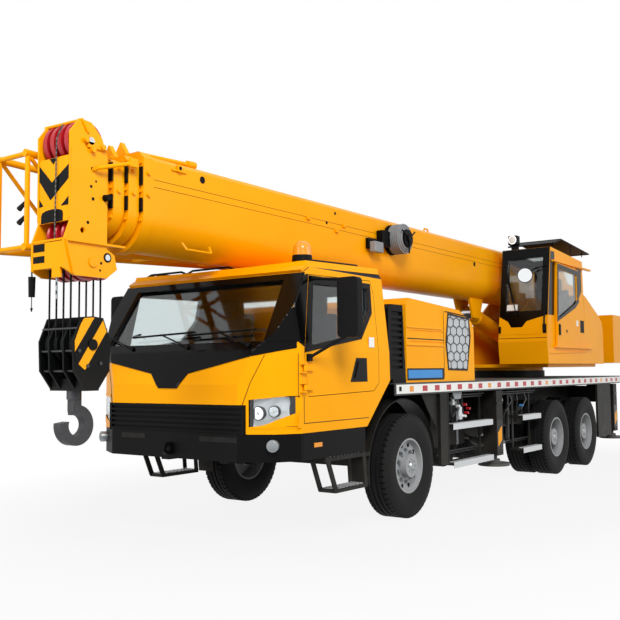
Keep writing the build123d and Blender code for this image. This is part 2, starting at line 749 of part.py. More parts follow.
# ------------------------------------------------------------------ boom
# width, height, rear station, front station of each section, outermost first
boom_rows = (
    (600.0, 820.0, -7450.0),
    (520.0, 710.0, -6900.0),
    (444.0, 604.0, -6700.0),
    (370.0, 500.0, -6500.0),
)
top_corner = 40.0


def boom_outline(width, height, shrink):
    """U-bottom section as a face across X, shrunk by the given amount all round."""
    half = width / 2 - shrink
    top = boom_axis_z + height / 2 - shrink
    bottom = boom_axis_z - height / 2 + shrink
    spring = bottom + half
    corner = max(top_corner - shrink, 5.0)
    lines = Curve() + [
        Line((half, spring), (half, top - corner)),
        Line((half, top - corner), (half - corner, top)),
        Line((half - corner, top), (-half + corner, top)),
        Line((-half + corner, top), (-half, top - corner)),
        Line((-half, top - corner), (-half, spring)),
        ThreePointArc((-half, spring), (0, bottom), (half, spring)),
    ]
    return make_face(lines)


def boom_bar(width, height, shrink, stations):
    """A solid bar of a boom section's outline between two stations."""
    plane = Plane(origin=(stn(min(stations)), 0, 0), x_dir=(0, 1, 0), z_dir=(1, 0, 0))
    return extrude(plane * boom_outline(width, height, shrink), amount=abs(stations[1] - stations[0]))


def build_boom_section(index):
    """One telescoping section: a hollow bar, its collar and its wear pads."""
    width, height, rear = boom_rows[index]
    last = index == len(boom_rows) - 1
    front = collar_start + (index + 1) * collar_length
    if last:
        front = collar_start + 3 * collar_length + 60
    section = boom_bar(width, height, 0, (rear, front))
    section -= boom_bar(width, height, boom_wall, (rear - 50, front + 50))
    if not last:
        inner_width, inner_height, _ = boom_rows[index + 1]
        collar = boom_bar(width, height, -22, (front - collar_length + 15, front))
        collar -= boom_bar(inner_width, inner_height, -5, (rear, front + 50))
        section += collar
        # side and top pads bear on the next section
        pad_z = boom_axis_z + 60
        for side in (1, -1):
            section += box((front - 90, front - 10),
                           (side * (inner_width / 2 + pin_gap), side * (inner_width / 2 + 12)),
                           (pad_z - 60, pad_z + 60))
        section += box((front - 90, front - 10), (-70, 70),
                       (boom_axis_z + inner_height / 2 + pin_gap, boom_axis_z + inner_height / 2 + 12))
        # pointed cap on top of the collar
        tip = boom_axis_z + height / 2
        section += front_prism([(-90, tip + 15), (90, tip + 15), (0, tip + 150)],
                               (front - 70, front - 20))
    if index:
        outer_width, outer_height, _ = boom_rows[index - 1]
        top = boom_axis_z + outer_height / 2 - boom_wall
        section += box((rear, rear + 150), (-70, 70),
                       (boom_axis_z + height / 2 - 5, top - pin_gap))
        for side in (1, -1):
            section += box((rear, rear + 150),
                           (side * (width / 2 - 5), side * (outer_width / 2 - boom_wall - pin_gap)),
                           (boom_axis_z - 60, boom_axis_z + 60))
    return section


def build_boom_base():
    section = build_boom_section(0)
    # pivot bosses and bore
    section += rod_y(boom_pivot_station, boom_pivot_z, 130, (-320, 320)) - boom_bar(
        600, 820, boom_wall, (-7600, -6800))
    section -= rod_y(boom_pivot_station, boom_pivot_z, boom_pin_radius + pin_gap, (-400, 400))
    # lugs for the lift cylinder's eye
    bottom = boom_axis_z - 410
    for side in (1, -1):
        section += side_prism([(lift_eye[0] - 260, bottom + 60), (lift_eye[0] - 110, lift_eye[1] - 90),
                               (lift_eye[0] + 110, lift_eye[1] - 90), (lift_eye[0] + 260, bottom + 60)],
                              (side * 100, side * 135)) - boom_bar(
            600, 820, boom_wall, (-4600, -3600))
    return section


top_sheave = (3415.0, 3430.0)
top_sheave_radius = 180.0
jib_pin = (3480.0, 2690.0)
jib_pin_radius = 25.0


def build_boom_tip():
    """Innermost section with the boom head."""
    section = build_boom_section(3)
    head_side = [(3230, 2560), (3230, 3330), (3290, 3480), (3400, 3590), (3520, 3600), (3610, 3480),
                 (3600, 2760), (3660, 2600), (3660, 2370), (3560, 2320), (3230, 2320), (3120, 2400),
                 (3150, 2520)]
    plate = side_prism(head_side, (190, 212))
    head = both_sides(plate)
    section += head
    section += box((3230, 3250), (-200, 200), (2780, 3300))
    section += box((3578, 3600), (-200, 200), (2760, 3290))
    section += box((3250, 3590), (-6, 6), (2770, 3290))
    section += box((3600, 3655), (-200, 200), (2380, 2590))
    section += rod_y(top_sheave[0], top_sheave[1], 35, (-225, 225))
    section += rod_y(hang_station, hang_z, 40, (-225, 225))
    # pin holes that take a swing-away jib
    section -= rod_y(jib_pin[0], jib_pin[1], jib_pin_radius, (-260, 260))
    return section


def build_head_sheaves():
    pieces = []
    for y in (-135, -45, 45, 135):
        upper = rod_y(*top_sheave, top_sheave_radius, (y - 24, y + 24))
        upper -= rod_y(*top_sheave, 35 + pin_gap, (y - 30, y + 30))
        lower = rod_y(hang_station, hang_z, fall_radius - 8, (y - 24, y + 24))
        lower -= rod_y(hang_station, hang_z, 40 + pin_gap, (y - 30, y + 30))
        pieces += [upper, lower]
    return pieces


block_z = 1770.0
block_radius = 160.0
swivel_z = 1330.0


def build_hook_block():
    """Cheek plates, sheaves and rope falls; they swing together under the boom head."""
    cheek = [(hang_station, 2000), (hang_station - 110, 1990), (hang_station - 190, 1800),
             (hang_station - 180, 1560), (hang_station - 60, 1400), (hang_station + 60, 1400),
             (hang_station + 180, 1560), (hang_station + 190, 1800), (hang_station + 110, 1990)]
    block = None
    for y in (-212, -90, 90, 212):
        plate = side_prism(cheek, (y - 9, y + 9))
        block = plate if block is None else block + plate
    block += rod_y(hang_station, block_z, 45, (-235, 235))
    block += box((hang_station - 70, hang_station + 70), (-221, 221), (1400, 1500))
    for y in (-150, -45, 45, 150):
        block += rod_y(hang_station, block_z, block_radius, (y - 22, y + 22))
    block -= rod_z(hang_station, 0, 34 + pin_gap, (1380, 1520))
    for y in (-135, -45, 45, 135):
        for side in (1, -1):
            x = hang_station + side * fall_radius
            block += rod_z(x, y, 8, (block_z, hang_z))
    return block


def build_hook():
    """Single hook with its shank, nut and swivel."""
    shank = rod_z(hang_station, 0, 34, (1290, 1520 + 20))
    nut = rod_z(hang_station, 0, 60, (1500 + pin_gap, 1545))
    collar = rod_z(hang_station, 0, 60, (1330, 1400 - pin_gap))
    centre = (hang_station, 1120)
    outer, inner = 165.0, 85.0
    ring = rod_y(centre[0], centre[1], outer, (-45, 45)) - rod_y(centre[0], centre[1], inner, (-60, 60))
    mouth = side_prism([(centre[0] + 20, centre[1] + 40), (centre[0] + 260, centre[1] + 10),
                        (centre[0] + 260, centre[1] + 260), (centre[0] + 35, centre[1] + 200)],
                       (-60, 60))
    ring -= mouth
    hook = ring + box((centre[0] - 45, centre[0] + 34), (-40, 40), (1230, 1335))
    return hook + shank + nut + collar


def build_fly_jib():
    """Swing-away jib stowed along the right side of the base section."""
    root = [(3600, -400, 3400), (3600, -800, 3400), (3600, -400, 2600), (3600, -800, 2600)]
    tip = [(-4000, -430, 3120), (-4000, -600, 3120), (-4000, -430, 2930), (-4000, -600, 2930)]
    jib = None
    for a, b in zip(root, tip):
        bar = strut(a, b, 32)
        jib = bar if jib is None else jib + bar

    def at(k, t):
        return tuple(root[k][i] + (tip[k][i] - root[k][i]) * t for i in range(3))

    stops = [0.004, 0.1, 0.2, 0.32, 0.46, 0.62, 0.8, 0.996]
    for t in stops:
        for a, b in ((0, 1), (2, 3), (0, 2), (1, 3)):
            jib += strut(at(a, t), at(b, t), 22)
    for t0, t1 in zip(stops[:-1], stops[1:]):
        for a, b in ((0, 2), (1, 3)):
            jib += strut(at(a, t0), at(b, t1), 18)
    for t in (0.14, 0.86):
        top, low = at(0, t), at(2, t)
        jib += box((top[0] - 60, top[0] + 60), (-300, top[1]), (low[2] + 60, low[2] + 180))
        jib += strut(at(0, t), at(2, t), 22)
    return jib


# ------------------------------------------------------------------ write the nodes
write("chassis_frame", build_chassis_frame())
write("deck", build_deck())
write("axles", *build_axles())
write("engine", box((-200, -1350), (-380, 380), (deck_top, 2050)))
write("engine_hood", build_engine_hood())
write("air_intake", *build_air_intake())
write("tanks", *build_tanks())
write("steps", *build_steps())
write("fenders", *build_fenders())
write("bumper", *build_bumper())
write("cab_interior", *build_cab_interior())
for node_name, shapes in build_cab().items():
    write(node_name, *shapes)
for side, name in ((1, "left"), (-1, "right")):
    write(f"mirror_{name}", build_mirror(side))
    write(f"knuckle_{name}", build_knuckle(side))
for wheel_name, station, side, twin in wheel_rows:
    tyres = [tyre(station, side * wheel_y)]
    if twin:
        tyres.append(tyre(station, side * (wheel_y - twin_pitch)))
    write(f"tyre_{wheel_name}", *tyres)
    write(f"rim_{wheel_name}", build_rim(station, side, twin))
for row_name, row_station in outrigger_rows:
    for side, name in ((1, "left"), (-1, "right")):
        write(f"outrigger_beam_{row_name}_{name}", build_beam(row_station, side))
        write(f"outrigger_jack_{row_name}_{name}", build_jack(row_station, side))
write("turntable", build_turntable())
operator_shell, operator_panes = build_operator_cab()
write("operator_cab", *operator_shell)
write("operator_glass", *operator_panes)
write("counterweight", build_counterweight())
write("winches", *build_winches())
door_leaf, door_pane = build_operator_door()
write("operator_door", door_leaf)
write("operator_door_glass", door_pane)
write("lift_cylinder", build_lift_cylinder())
write("lift_rod", build_lift_rod())
write("boom_base", build_boom_base())
write("boom_section_2", build_boom_section(1))
write("boom_section_3", build_boom_section(2))
write("boom_section_4", build_boom_tip())
write("head_sheaves", *build_head_sheaves())
write("hook_block", build_hook_block())
write("hook", build_hook())
write("fly_jib", build_fly_jib())
print("lift", lift_rest_length, lift_rest_slope, lift_full_length, lift_full_slope)
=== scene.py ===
# %% [markdown]
# # A three-axle truck crane, dressed in Blender
# The machine arrives as a set of rigid nodes that already have the right size and joints.
# Each cell adds one real piece or one real finish to it, in metres, and hangs it on a body.

# %% Load the rigid frame
import json
import math

import bmesh
import bpy
from mathutils import Matrix, Vector


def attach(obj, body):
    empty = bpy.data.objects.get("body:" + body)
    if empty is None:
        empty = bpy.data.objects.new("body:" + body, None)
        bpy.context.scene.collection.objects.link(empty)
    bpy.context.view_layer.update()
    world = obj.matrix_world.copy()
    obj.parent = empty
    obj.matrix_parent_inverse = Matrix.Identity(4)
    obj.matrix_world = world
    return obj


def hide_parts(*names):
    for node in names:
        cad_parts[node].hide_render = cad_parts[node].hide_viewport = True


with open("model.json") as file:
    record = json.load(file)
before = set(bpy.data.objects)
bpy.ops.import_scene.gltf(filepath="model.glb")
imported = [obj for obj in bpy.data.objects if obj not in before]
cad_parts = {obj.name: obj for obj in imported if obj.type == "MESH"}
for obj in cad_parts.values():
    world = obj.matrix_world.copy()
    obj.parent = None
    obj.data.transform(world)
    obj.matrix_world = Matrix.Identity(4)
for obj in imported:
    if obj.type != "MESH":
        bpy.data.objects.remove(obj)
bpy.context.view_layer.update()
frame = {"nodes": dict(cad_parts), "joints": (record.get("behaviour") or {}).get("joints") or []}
nodes = frame["nodes"]
joints = {joint["name"]: joint for joint in frame["joints"]}
front_axle_x = joints["roll_front_left"]["pos_m"][0]
sides = ((1, "left"), (-1, "right"))
print("nodes", len(nodes), "front axle at x =", round(front_axle_x, 3))


def at(station, y, z):
    """A point from its distance ahead of the front axle."""
    return Vector((front_axle_x + station, y, z))


# %% [markdown]
# ## Camera
# The camera stands low at the left front corner and looks slightly up, so the boom head
# towers over the cab. It comes first, because every later choice is judged through it.

# %% Place the camera
camera_place = at(7.846, 5.616, 1.543)
camera_yaw, camera_pitch, camera_roll = 0.62596, 0.07234, -0.00918
view = Vector((-math.cos(camera_pitch) * math.cos(camera_yaw),
               -math.cos(camera_pitch) * math.sin(camera_yaw), math.sin(camera_pitch)))
level_right = view.cross(Vector((0, 0, 1))).normalized()
level_up = level_right.cross(view)
right = level_right * math.cos(camera_roll) + level_up * math.sin(camera_roll)
up = level_up * math.cos(camera_roll) - level_right * math.sin(camera_roll)
turn = Matrix((right, up, -view)).transposed().to_4x4()
camera_data = bpy.data.cameras.new("camera")
camera_data.lens = 48.87
camera_data.sensor_width = 36.0
camera = bpy.data.objects.new("camera", camera_data)
camera.matrix_world = Matrix.Translation(camera_place) @ turn
scene = bpy.context.scene
scene.collection.objects.link(camera)
scene.camera = camera
print("camera at", [round(c, 2) for c in camera_place])

# %% [markdown]
# ## Helpers for materials
# Colours are written as sRGB hex and turned to the linear light that shaders work in. One
# function adds a node and wires its inputs at once, so each material reads as a short recipe.

# %% Colours and nodes


def linear(hex_colour):
    """An sRGB hex colour as linear RGBA."""
    values = [int(hex_colour[i:i + 2], 16) / 255 for i in (0, 2, 4)]
    return [v / 12.92 if v <= 0.04045 else ((v + 0.055) / 1.055) ** 2.4 for v in values] + [1.0]


def add_node(tree, kind, inputs=None, **settings):
    """Add a node; an input takes a value or another node's output socket."""
    node = tree.nodes.new(kind)
    for name, value in settings.items():
        setattr(node, name, value)
    for name, value in (inputs or {}).items():
        if isinstance(value, bpy.types.NodeSocket):
            tree.links.new(value, node.inputs[name])
        else:
            node.inputs[name].default_value = value
    return node


def new_material(name):
    """An empty node material with its tree, shader and Object coordinates."""
    material = bpy.data.materials.new(name)
    material.use_nodes = True
    tree = material.node_tree
    shader = tree.nodes["Principled BSDF"]
    place = add_node(tree, "ShaderNodeTexCoord").outputs["Object"]
    return material, tree, shader, place


print("mid grey 808080 is", round(linear("808080")[0], 3), "in linear light")

# %% [markdown]
# Real surfaces are never even. Clouds of noise, stretched to the range that a finish needs, move
# its colour, gloss and relief a little. These helpers each add one such step to a node tree.

# %% Nodes that every finish uses


def join_values(tree, operation, first, second):
    """One number from two: their product, or the larger of them."""
    return add_node(tree, "ShaderNodeMath", {0: first, 1: second}, operation=operation).outputs[0]


def noise(tree, place, scale, detail):
    """A cloud of grey values; scale counts its lumps in a metre."""
    return add_node(tree, "ShaderNodeTexNoise",
                    {"Vector": place, "Scale": scale, "Detail": detail}).outputs["Fac"]


def remap(tree, value, low, high, from_low=0.0, from_high=1.0):
    """A value carried from one range to another."""
    return add_node(tree, "ShaderNodeMapRange",
                    {"Value": value, "From Min": from_low, "From Max": from_high,
                     "To Min": low, "To Max": high}).outputs["Result"]


def mix_colours(tree, factor, first, second):
    """A colour between two others."""
    return add_node(tree, "ShaderNodeMix", {"Factor": factor, "A": first, "B": second},
                    data_type="RGBA").outputs["Result"]


def add_bump(tree, shader, height, strength, depth):
    """Small relief in the shading, with its depth in metres."""
    bump = add_node(tree, "ShaderNodeBump", {"Height": height, "Strength": strength,
                                             "Distance": depth})
    tree.links.new(bump.outputs["Normal"], shader.inputs["Normal"])


def seen_directly(tree):
    """1 for rays that meet the camera, cross glass or leave a shiny face, and 0 for the rest."""
    rays = add_node(tree, "ShaderNodeLightPath")
    seen = rays.outputs["Is Camera Ray"]
    for kind in ("Is Transmission Ray", "Is Glossy Ray"):
        seen = join_values(tree, "MAXIMUM", seen, rays.outputs[kind])
    return seen


print("node helpers ready")

# %% [markdown]
# ## Light and floor
# A pale studio floor catches one soft shadow. The backdrop is white only for rays that go
# straight to the camera or reflect in metal and glass, so the paint itself isn't overlit.
# Three soft lamps do the modelling: a strong one high at the front, and two weak ones that
# lift the side and the nose.

# %% World and lamps
backdrop_light, paint_light = 1.0, 0.30
scene.view_settings.view_transform = "Standard"
world = bpy.data.worlds.new("studio")
world.use_nodes = True
scene.world = world
tree = world.node_tree
background = tree.nodes["Background"]
background.inputs["Color"].default_value = (1, 1, 1, 1)
strength = remap(tree, seen_directly(tree), paint_light, backdrop_light)
tree.links.new(strength, background.inputs["Strength"])


def add_area_light(name, place, target, size, power):
    """A soft square lamp that looks at a point."""
    data = bpy.data.lights.new(name, "AREA")
    data.size = size
    data.energy = power
    lamp = bpy.data.objects.new(name, data)
    look = (target - place).to_track_quat("-Z", "Y").to_matrix().to_4x4()
    lamp.matrix_world = Matrix.Translation(place) @ look
    scene.collection.objects.link(lamp)


middle = at(-2.0, 0.0, 1.5)
add_area_light("key", at(9, 9, 10), middle, 5.0, 1750)
add_area_light("side_fill", at(-6, 14, 5), middle, 8.0, 650)
add_area_light("front_fill", at(13, -3, 3.5), middle, 6.0, 580)
print("lamps", [light.name for light in bpy.data.lights], "backdrop gives", paint_light)

# %% [markdown]
# The floor is one huge square. It fades to pure white away from the machine, so its far edge
# never shows, and near the wheels it keeps a trace of grey that carries the shadow.

# %% Floor
fade_start, fade_end, near_white = 5.0, 9.0, 0.88
floor_mesh = bmesh.new()
bmesh.ops.create_grid(floor_mesh, x_segments=1, y_segments=1, size=60)
floor_data = bpy.data.meshes.new("floor")
floor_mesh.to_mesh(floor_data)
floor_mesh.free()
floor = bpy.data.objects.new("floor", floor_data)
scene.collection.objects.link(floor)
material, tree, shader, place = new_material("studio_floor")
shader.inputs["Base Color"].default_value = linear("a4a4a4")
shader.inputs["Roughness"].default_value = 0.9
white = add_node(tree, "ShaderNodeEmission", {"Strength": 1.0})
# the fade is an ellipse, longer along the machine than across it
apart = add_node(tree, "ShaderNodeVectorMath", {0: place, 1: (1.0, 1.6, 0.0)},
                 operation="MULTIPLY").outputs[0]
reach = add_node(tree, "ShaderNodeVectorMath", {0: apart}, operation="LENGTH").outputs["Value"]
fade = remap(tree, reach, near_white, 1.0, fade_start, fade_end)
show = join_values(tree, "MULTIPLY", fade, seen_directly(tree))
blend = add_node(tree, "ShaderNodeMixShader", {0: show, 1: shader.outputs[0], 2: white.outputs[0]})
tree.links.new(blend.outputs[0], tree.nodes["Material Output"].inputs["Surface"])
floor_data.materials.append(material)
print("floor fades from", fade_start, "to", fade_end, "m")

# %% [markdown]
# ## Finishes
# Machine enamel is sprayed thick: it is glossy, has a faint orange peel, and picks up road
# dust low down. Noise moves the colour and the gloss a little, a fine noise makes the peel,
# and the height above the ground decides how much dust lies on it.

# %% Sprayed enamel


def enamel(name, colour, worn, roughness=0.3, coat=0.02, dust=0.0, peel_mm=14.0, shine=0.08):
    """Sprayed paint: slow colour drift, orange peel and dust that thickens near the ground."""
    material, tree, shader, place = new_material(name)
    drift = remap(tree, noise(tree, place, 1.3, 3.0), 0.0, 0.55, 0.35, 0.7)
    top = mix_colours(tree, drift, linear(colour), linear(worn))
    if dust:
        height = add_node(tree, "ShaderNodeSeparateXYZ", {"Vector": place}).outputs["Z"]
        low = remap(tree, height, 0.0, dust, 1.6, 0.2)
        amount = join_values(tree, "MULTIPLY", low, noise(tree, place, 7.0, 6.0))
        top = mix_colours(tree, amount, top, linear("8d867a"))
    tree.links.new(top, shader.inputs["Base Color"])
    gloss = remap(tree, noise(tree, place, 5.0, 4.0), roughness - 0.07, roughness + 0.12)
    tree.links.new(gloss, shader.inputs["Roughness"])
    add_bump(tree, shader, noise(tree, place, 1000.0 / peel_mm, 1.0), 0.05, 0.002)
    shader.inputs["Specular IOR Level"].default_value = shine
    shader.inputs["Coat Weight"].default_value = coat
    shader.inputs["Coat Roughness"].default_value = 0.08
    return material


finish = {
    "yellow": enamel("machinery_yellow_enamel", "fba802", "f39c02"),
    "black": enamel("satin_black_chassis_enamel", "070808", "0d0e0e", 0.45, 0.0, dust=0.18, shine=0.1),
    "grey": enamel("grey_chassis_enamel", "35383b", "434649", 0.45, 0.0, dust=0.4, shine=0.15),
    "pale_grey": enamel("pale_grey_enamel", "8f9396", "7d8184", 0.4, 0.15, dust=0.3),
    "silver": enamel("silver_wheel_enamel", "a2a4a6", "8c8f92", 0.35, 0.1, dust=0.25, peel_mm=20.0),
    # near white: the reflector's silver with its bright reflection painted into the colour
    "lamp_silver_and_reflection": enamel("lamp_reflector_painted_reflection", "f6f8f9", "e6eaec", 0.18, 0.6, peel_mm=30.0),
    "radiator": enamel("pale_radiator_fins", "c3c6c8", "aeb2b4", 0.4, 0.1),
    "white": enamel("white_enamel", "eeeeea", "dfdfda", 0.35, 0.2),
    "blue": enamel("blue_enamel", "4a90d0", "3f84c4", 0.4, 0.1),
}
print("enamels", sorted(finish))

# %% [markdown]
# Moulded ABS and polypropylene have a leathery grain that scatters light. Rubber is duller
# still and grey with dust. A cell pattern in the bump gives both their grain. Grain under a
# millimetre wouldn't show on a machine this long, so it is drawn several times too large.

# %% Plastics and rubber


def moulded(name, colour, roughness, grain_mm, depth, drift_colour=None, shine=0.5):
    """Moulded plastic or rubber: even colour, fine grain from a cell pattern."""
    material, tree, shader, place = new_material(name)
    top = mix_colours(tree, noise(tree, place, 3.0, 5.0), linear(colour),
                      linear(drift_colour or colour))
    tree.links.new(top, shader.inputs["Base Color"])
    shader.inputs["Roughness"].default_value = roughness
    shader.inputs["Specular IOR Level"].default_value = shine
    cells = add_node(tree, "ShaderNodeTexVoronoi", {"Vector": place, "Scale": 1000.0 / grain_mm})
    add_bump(tree, shader, cells.outputs["Distance"], 0.25, depth)
    return material


finish.update({
    "plastic": moulded("grained_black_polypropylene", "060607", 0.5, 8.0, 0.0008, "0b0b0c", 0.08),
    "gloss_black": moulded("gloss_black_acrylic", "050506", 0.15, 40.0, 0.0002, shine=0.12),
    "rubber": moulded("sidewall_rubber", "131314", 0.7, 12.0, 0.001, "1e1d1c", 0.12),
    "hose": moulded("hydraulic_hose_rubber", "101112", 0.45, 6.0, 0.0006),
    "reel_hose": moulded("woven_reel_hose", "8b8e90", 0.6, 7.0, 0.001, "6f7274"),
    "red": moulded("red_cast_nylon", "b3121d", 0.38, 10.0, 0.0004, "9c0f19"),
    "amber": moulded("amber_polycarbonate", "e8921a", 0.15, 5.0, 0.0004),
    "red_lens": moulded("red_reflector_sheet", "b01226", 0.25, 4.0, 0.0003),
    "felt": moulded("dark_lining_felt", "2a2c2f", 0.9, 9.0, 0.001, "202225", 0.2),
    "cloth": moulded("woven_seat_cloth", "20242d", 0.9, 6.0, 0.0015, "2a2f3a"),
})
print("finishes so far", len(finish))

# %% [markdown]
# Forged and drawn steel show as dark metal with brighter worn spots, and treads are pressed
# aluminium. Noise that is squeezed along one axis gives the fine scratches of handling.

# %% Metals


def metal(name, colour, roughness, scratch_mm, metallic=1.0, worn=None):
    """Bare metal with stretched scratches."""
    material, tree, shader, place = new_material(name)
    stretch = add_node(tree, "ShaderNodeMapping", {"Vector": place, "Scale": (1.0, 1.0, 6.0)})
    lines = noise(tree, stretch.outputs[0], 1000.0 / scratch_mm, 3.0)
    top = mix_colours(tree, lines, linear(colour), linear(worn or colour))
    tree.links.new(top, shader.inputs["Base Color"])
    rough = remap(tree, lines, roughness - 0.08, roughness + 0.15)
    tree.links.new(rough, shader.inputs["Roughness"])
    shader.inputs["Metallic"].default_value = metallic
    return material


finish.update({
    "chrome": metal("hard_chrome", "d5d8da", 0.12, 60.0),
    "steel": metal("zinc_plated_steel", "a8acae", 0.35, 20.0, worn="8c9093"),
    "forged": metal("dark_forged_steel", "2b2c2f", 0.5, 30.0, 0.6, "4a4a4c"),
    "aluminium": metal("pressed_aluminium_tread", "d9dbdc", 0.35, 15.0, 0.45, "b9bcbe"),
    "mirror": metal("silvered_mirror", "f2f4f5", 0.04, 300.0),
})
print("finishes so far", len(finish))

# %% [markdown]
# Wire rope is twisted from strands. Real strands would cost a lot of mesh and hardly show, so
# slanted bands in the colour and the bump stand for them.

# %% Wire rope
rope, tree, shader, place = new_material("steel_wire_rope")
waves = add_node(tree, "ShaderNodeTexWave", {"Vector": place, "Scale": 16.0, "Distortion": 0.6},
                 wave_type="BANDS", bands_direction="DIAGONAL").outputs["Fac"]
top = mix_colours(tree, waves, linear("2c2b29"), linear("605e5a"))
tree.links.new(top, shader.inputs["Base Color"])
add_bump(tree, shader, waves, 0.6, 0.003)
shader.inputs["Metallic"].default_value = 0.7
shader.inputs["Roughness"].default_value = 0.5
finish["rope"] = rope
print("rope nodes", len(tree.nodes))

# %% [markdown]
# Cab glass is a flat toughened sheet with a grey-green tint. Light crosses it twice, so the
# tint on each face is weak. A lamp's lens is the same glass with no tint.

# %% Glass


def glass(name, colour, roughness=0.02):
    """Clear sheet glass with faint dust."""
    material, tree, shader, place = new_material(name)
    haze = remap(tree, noise(tree, place, 4.0, 5.0), roughness, roughness + 0.05)
    tree.links.new(haze, shader.inputs["Roughness"])
    shader.inputs["Base Color"].default_value = linear(colour)
    shader.inputs["Transmission Weight"].default_value = 1.0
    shader.inputs["IOR"].default_value = 1.45
    return material


finish["window"] = glass("tinted_toughened_glass", "e6eded")
finish["lens"] = glass("clear_lamp_lens", "f4f7f8")
print("finishes in all", len(finish))

# %% [markdown]
# Each node of the frame has a shape of its own already and needs only its finish. A table of
# finish and nodes keeps this in one place, and the last line prints how many of all nodes were painted.

# %% Paint the nodes that keep their own shape
node_finish = {
    "yellow": ["engine_hood", "cab_shell", "cab_nose", "cab_door_left", "cab_door_right", "turntable",
               "operator_cab", "operator_door", "counterweight", "boom_base", "boom_section_2",
               "boom_section_3", "boom_section_4", "fly_jib", "lift_cylinder"],
    "black": ["chassis_frame", "axles", "knuckle_left", "knuckle_right", "fenders",
              "steps", "tanks", "hook_block"],
    "grey": ["deck", "engine", "winches"],
    "plastic": ["air_intake", "bumper", "mirror_left", "mirror_right"],
    "window": ["cab_glass", "cab_door_glass_left", "cab_door_glass_right", "operator_glass",
               "operator_door_glass"],
    "lens": ["headlamps"],
    "silver": [name for name in nodes if name.startswith("rim_")],
    "rubber": [name for name in nodes if name.startswith("tyre_")],
    "cloth": ["cab_interior"],
    "chrome": ["lift_rod"],
    "red": ["head_sheaves"],
    "forged": ["hook"],
}
node_finish["black"] += [name for name in nodes if name.startswith("outrigger_beam")]
node_finish["grey"] += [name for name in nodes if name.startswith("outrigger_jack")]
for key, names in node_finish.items():
    for name in names:
        nodes[name].data.materials.clear()
        nodes[name].data.materials.append(finish[key])
print("painted", sum(len(names) for names in node_finish.values()), "of", len(nodes))

# %% [markdown]
# ## Making new pieces
# Trim, tyres, rope and lamps are added here as bmesh shapes. Each starts as an empty bmesh, gets
# blocks, bars or plates, and then becomes an object with one finish that rides on a body.

# %% From a bmesh to a piece
hard_edge = 35


def hang(mesh, name, key, body, smooth=False):
    """Make an object of a bmesh, give it one finish, and let it ride on a body."""
    bmesh.ops.recalc_face_normals(mesh, faces=mesh.faces[:])
    data = bpy.data.meshes.new(name)
    mesh.to_mesh(data)
    mesh.free()
    if smooth:
        data.shade_smooth()
        data.set_sharp_from_angle(angle=math.radians(hard_edge))
    data.materials.append(finish[key])
    piece = bpy.data.objects.new(name, data)
    scene.collection.objects.link(piece)
    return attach(piece, body)


print("smooth pieces keep edges over", hard_edge, "degrees hard")

# %% [markdown]
# Brackets and boxes are blocks between two corners. Rods, pipes and studs are all round bars,
# so one helper lays a bar between any two points, and the others call it.

# %% Blocks, bars and pipes


def add_block(mesh, low, high, bevel=0.0):
    """A block between two corners, with its edges bevelled."""
    low, high = Vector(low), Vector(high)
    middle, size = (low + high) / 2, high - low
    scaled = Matrix.Diagonal((abs(size.x), abs(size.y), abs(size.z), 1.0))
    made = bmesh.ops.create_cube(mesh, size=1.0, matrix=Matrix.Translation(middle) @ scaled)
    if bevel:
        edges = list({edge for vert in made["verts"] for edge in vert.link_edges})
        bmesh.ops.bevel(mesh, geom=edges, offset=bevel, offset_type="OFFSET", segments=2, profile=0.5,
                        affect="EDGES", material=-1)


def add_rod(mesh, start, end, radius, segments=16, end_radius=None):
    """A round bar, or a cone, from one point to another."""
    start, end = Vector(start), Vector(end)
    along = end - start
    turn = along.to_track_quat("Z", "Y").to_matrix().to_4x4()
    bmesh.ops.create_cone(mesh, cap_ends=True, segments=segments, radius1=radius,
                          radius2=radius if end_radius is None else end_radius, depth=along.length,
                          matrix=Matrix.Translation((start + end) / 2) @ turn)


def add_stud(mesh, station, z, span, radius, segments=16, end_radius=None):
    """A round bar straight across the machine, over a span of y."""
    add_rod(mesh, at(station, span[0], z), at(station, span[1], z), radius, segments, end_radius)


def add_pipe(mesh, points, radius, segments=12):
    """Straight bars from point to point, with a ball at each elbow."""
    for start, end in zip(points[:-1], points[1:]):
        add_rod(mesh, start, end, radius, segments)
    for point in points[1:-1]:
        bmesh.ops.create_icosphere(mesh, subdivisions=2, radius=radius,
                                   matrix=Matrix.Translation(point))


trial = bmesh.new()
add_block(trial, (0, 0, 0), (0.1, 0.1, 0.1), 0.01)
print("a bevelled block has", len(trial.faces), "faces")
trial.free()

# %% [markdown]
# Covers, painted marks and borders are only millimetres thick. A flat outline that is
# extruded once gives such a plate, and a strip between two outlines gives a border.

# %% Thin plates and borders


def on_side(y, points):
    """(station, z) points at one distance from the middle plane."""
    return [at(s, y, z) for s, z in points]


def push_out(mesh, faces, push):
    """Extrude faces along a vector, so that a flat sheet gets its thickness."""
    made = bmesh.ops.extrude_face_region(mesh, geom=faces)["geom"]
    moved = [item for item in made if isinstance(item, bmesh.types.BMVert)]
    bmesh.ops.translate(mesh, verts=moved, vec=push)
    return made


def add_plate(mesh, corners, push):
    """A thin plate: a flat outline pushed out along a vector."""
    face = mesh.faces.new([mesh.verts.new(corner) for corner in corners])
    made = push_out(mesh, [face], push)
    if len(corners) > 4:
        caps = [face] + [item for item in made if isinstance(item, bmesh.types.BMFace)]
        bmesh.ops.triangulate(mesh, faces=[cap for cap in caps if cap.is_valid])


def add_band(mesh, inner, outer, push):
    """A flat border between two outlines with as many corners each, pushed out along a vector."""
    rings = [[mesh.verts.new(Vector(corner)) for corner in ring] for ring in (inner, outer)]
    count = len(inner)
    faces = [mesh.faces.new((rings[0][i], rings[0][(i + 1) % count], rings[1][(i + 1) % count],
                             rings[1][i]))
             for i in range(count)]
    push_out(mesh, faces, push)


def outwards(side, amount):
    """A push away from the vehicle's middle plane."""
    return Vector((0, side * amount, 0))


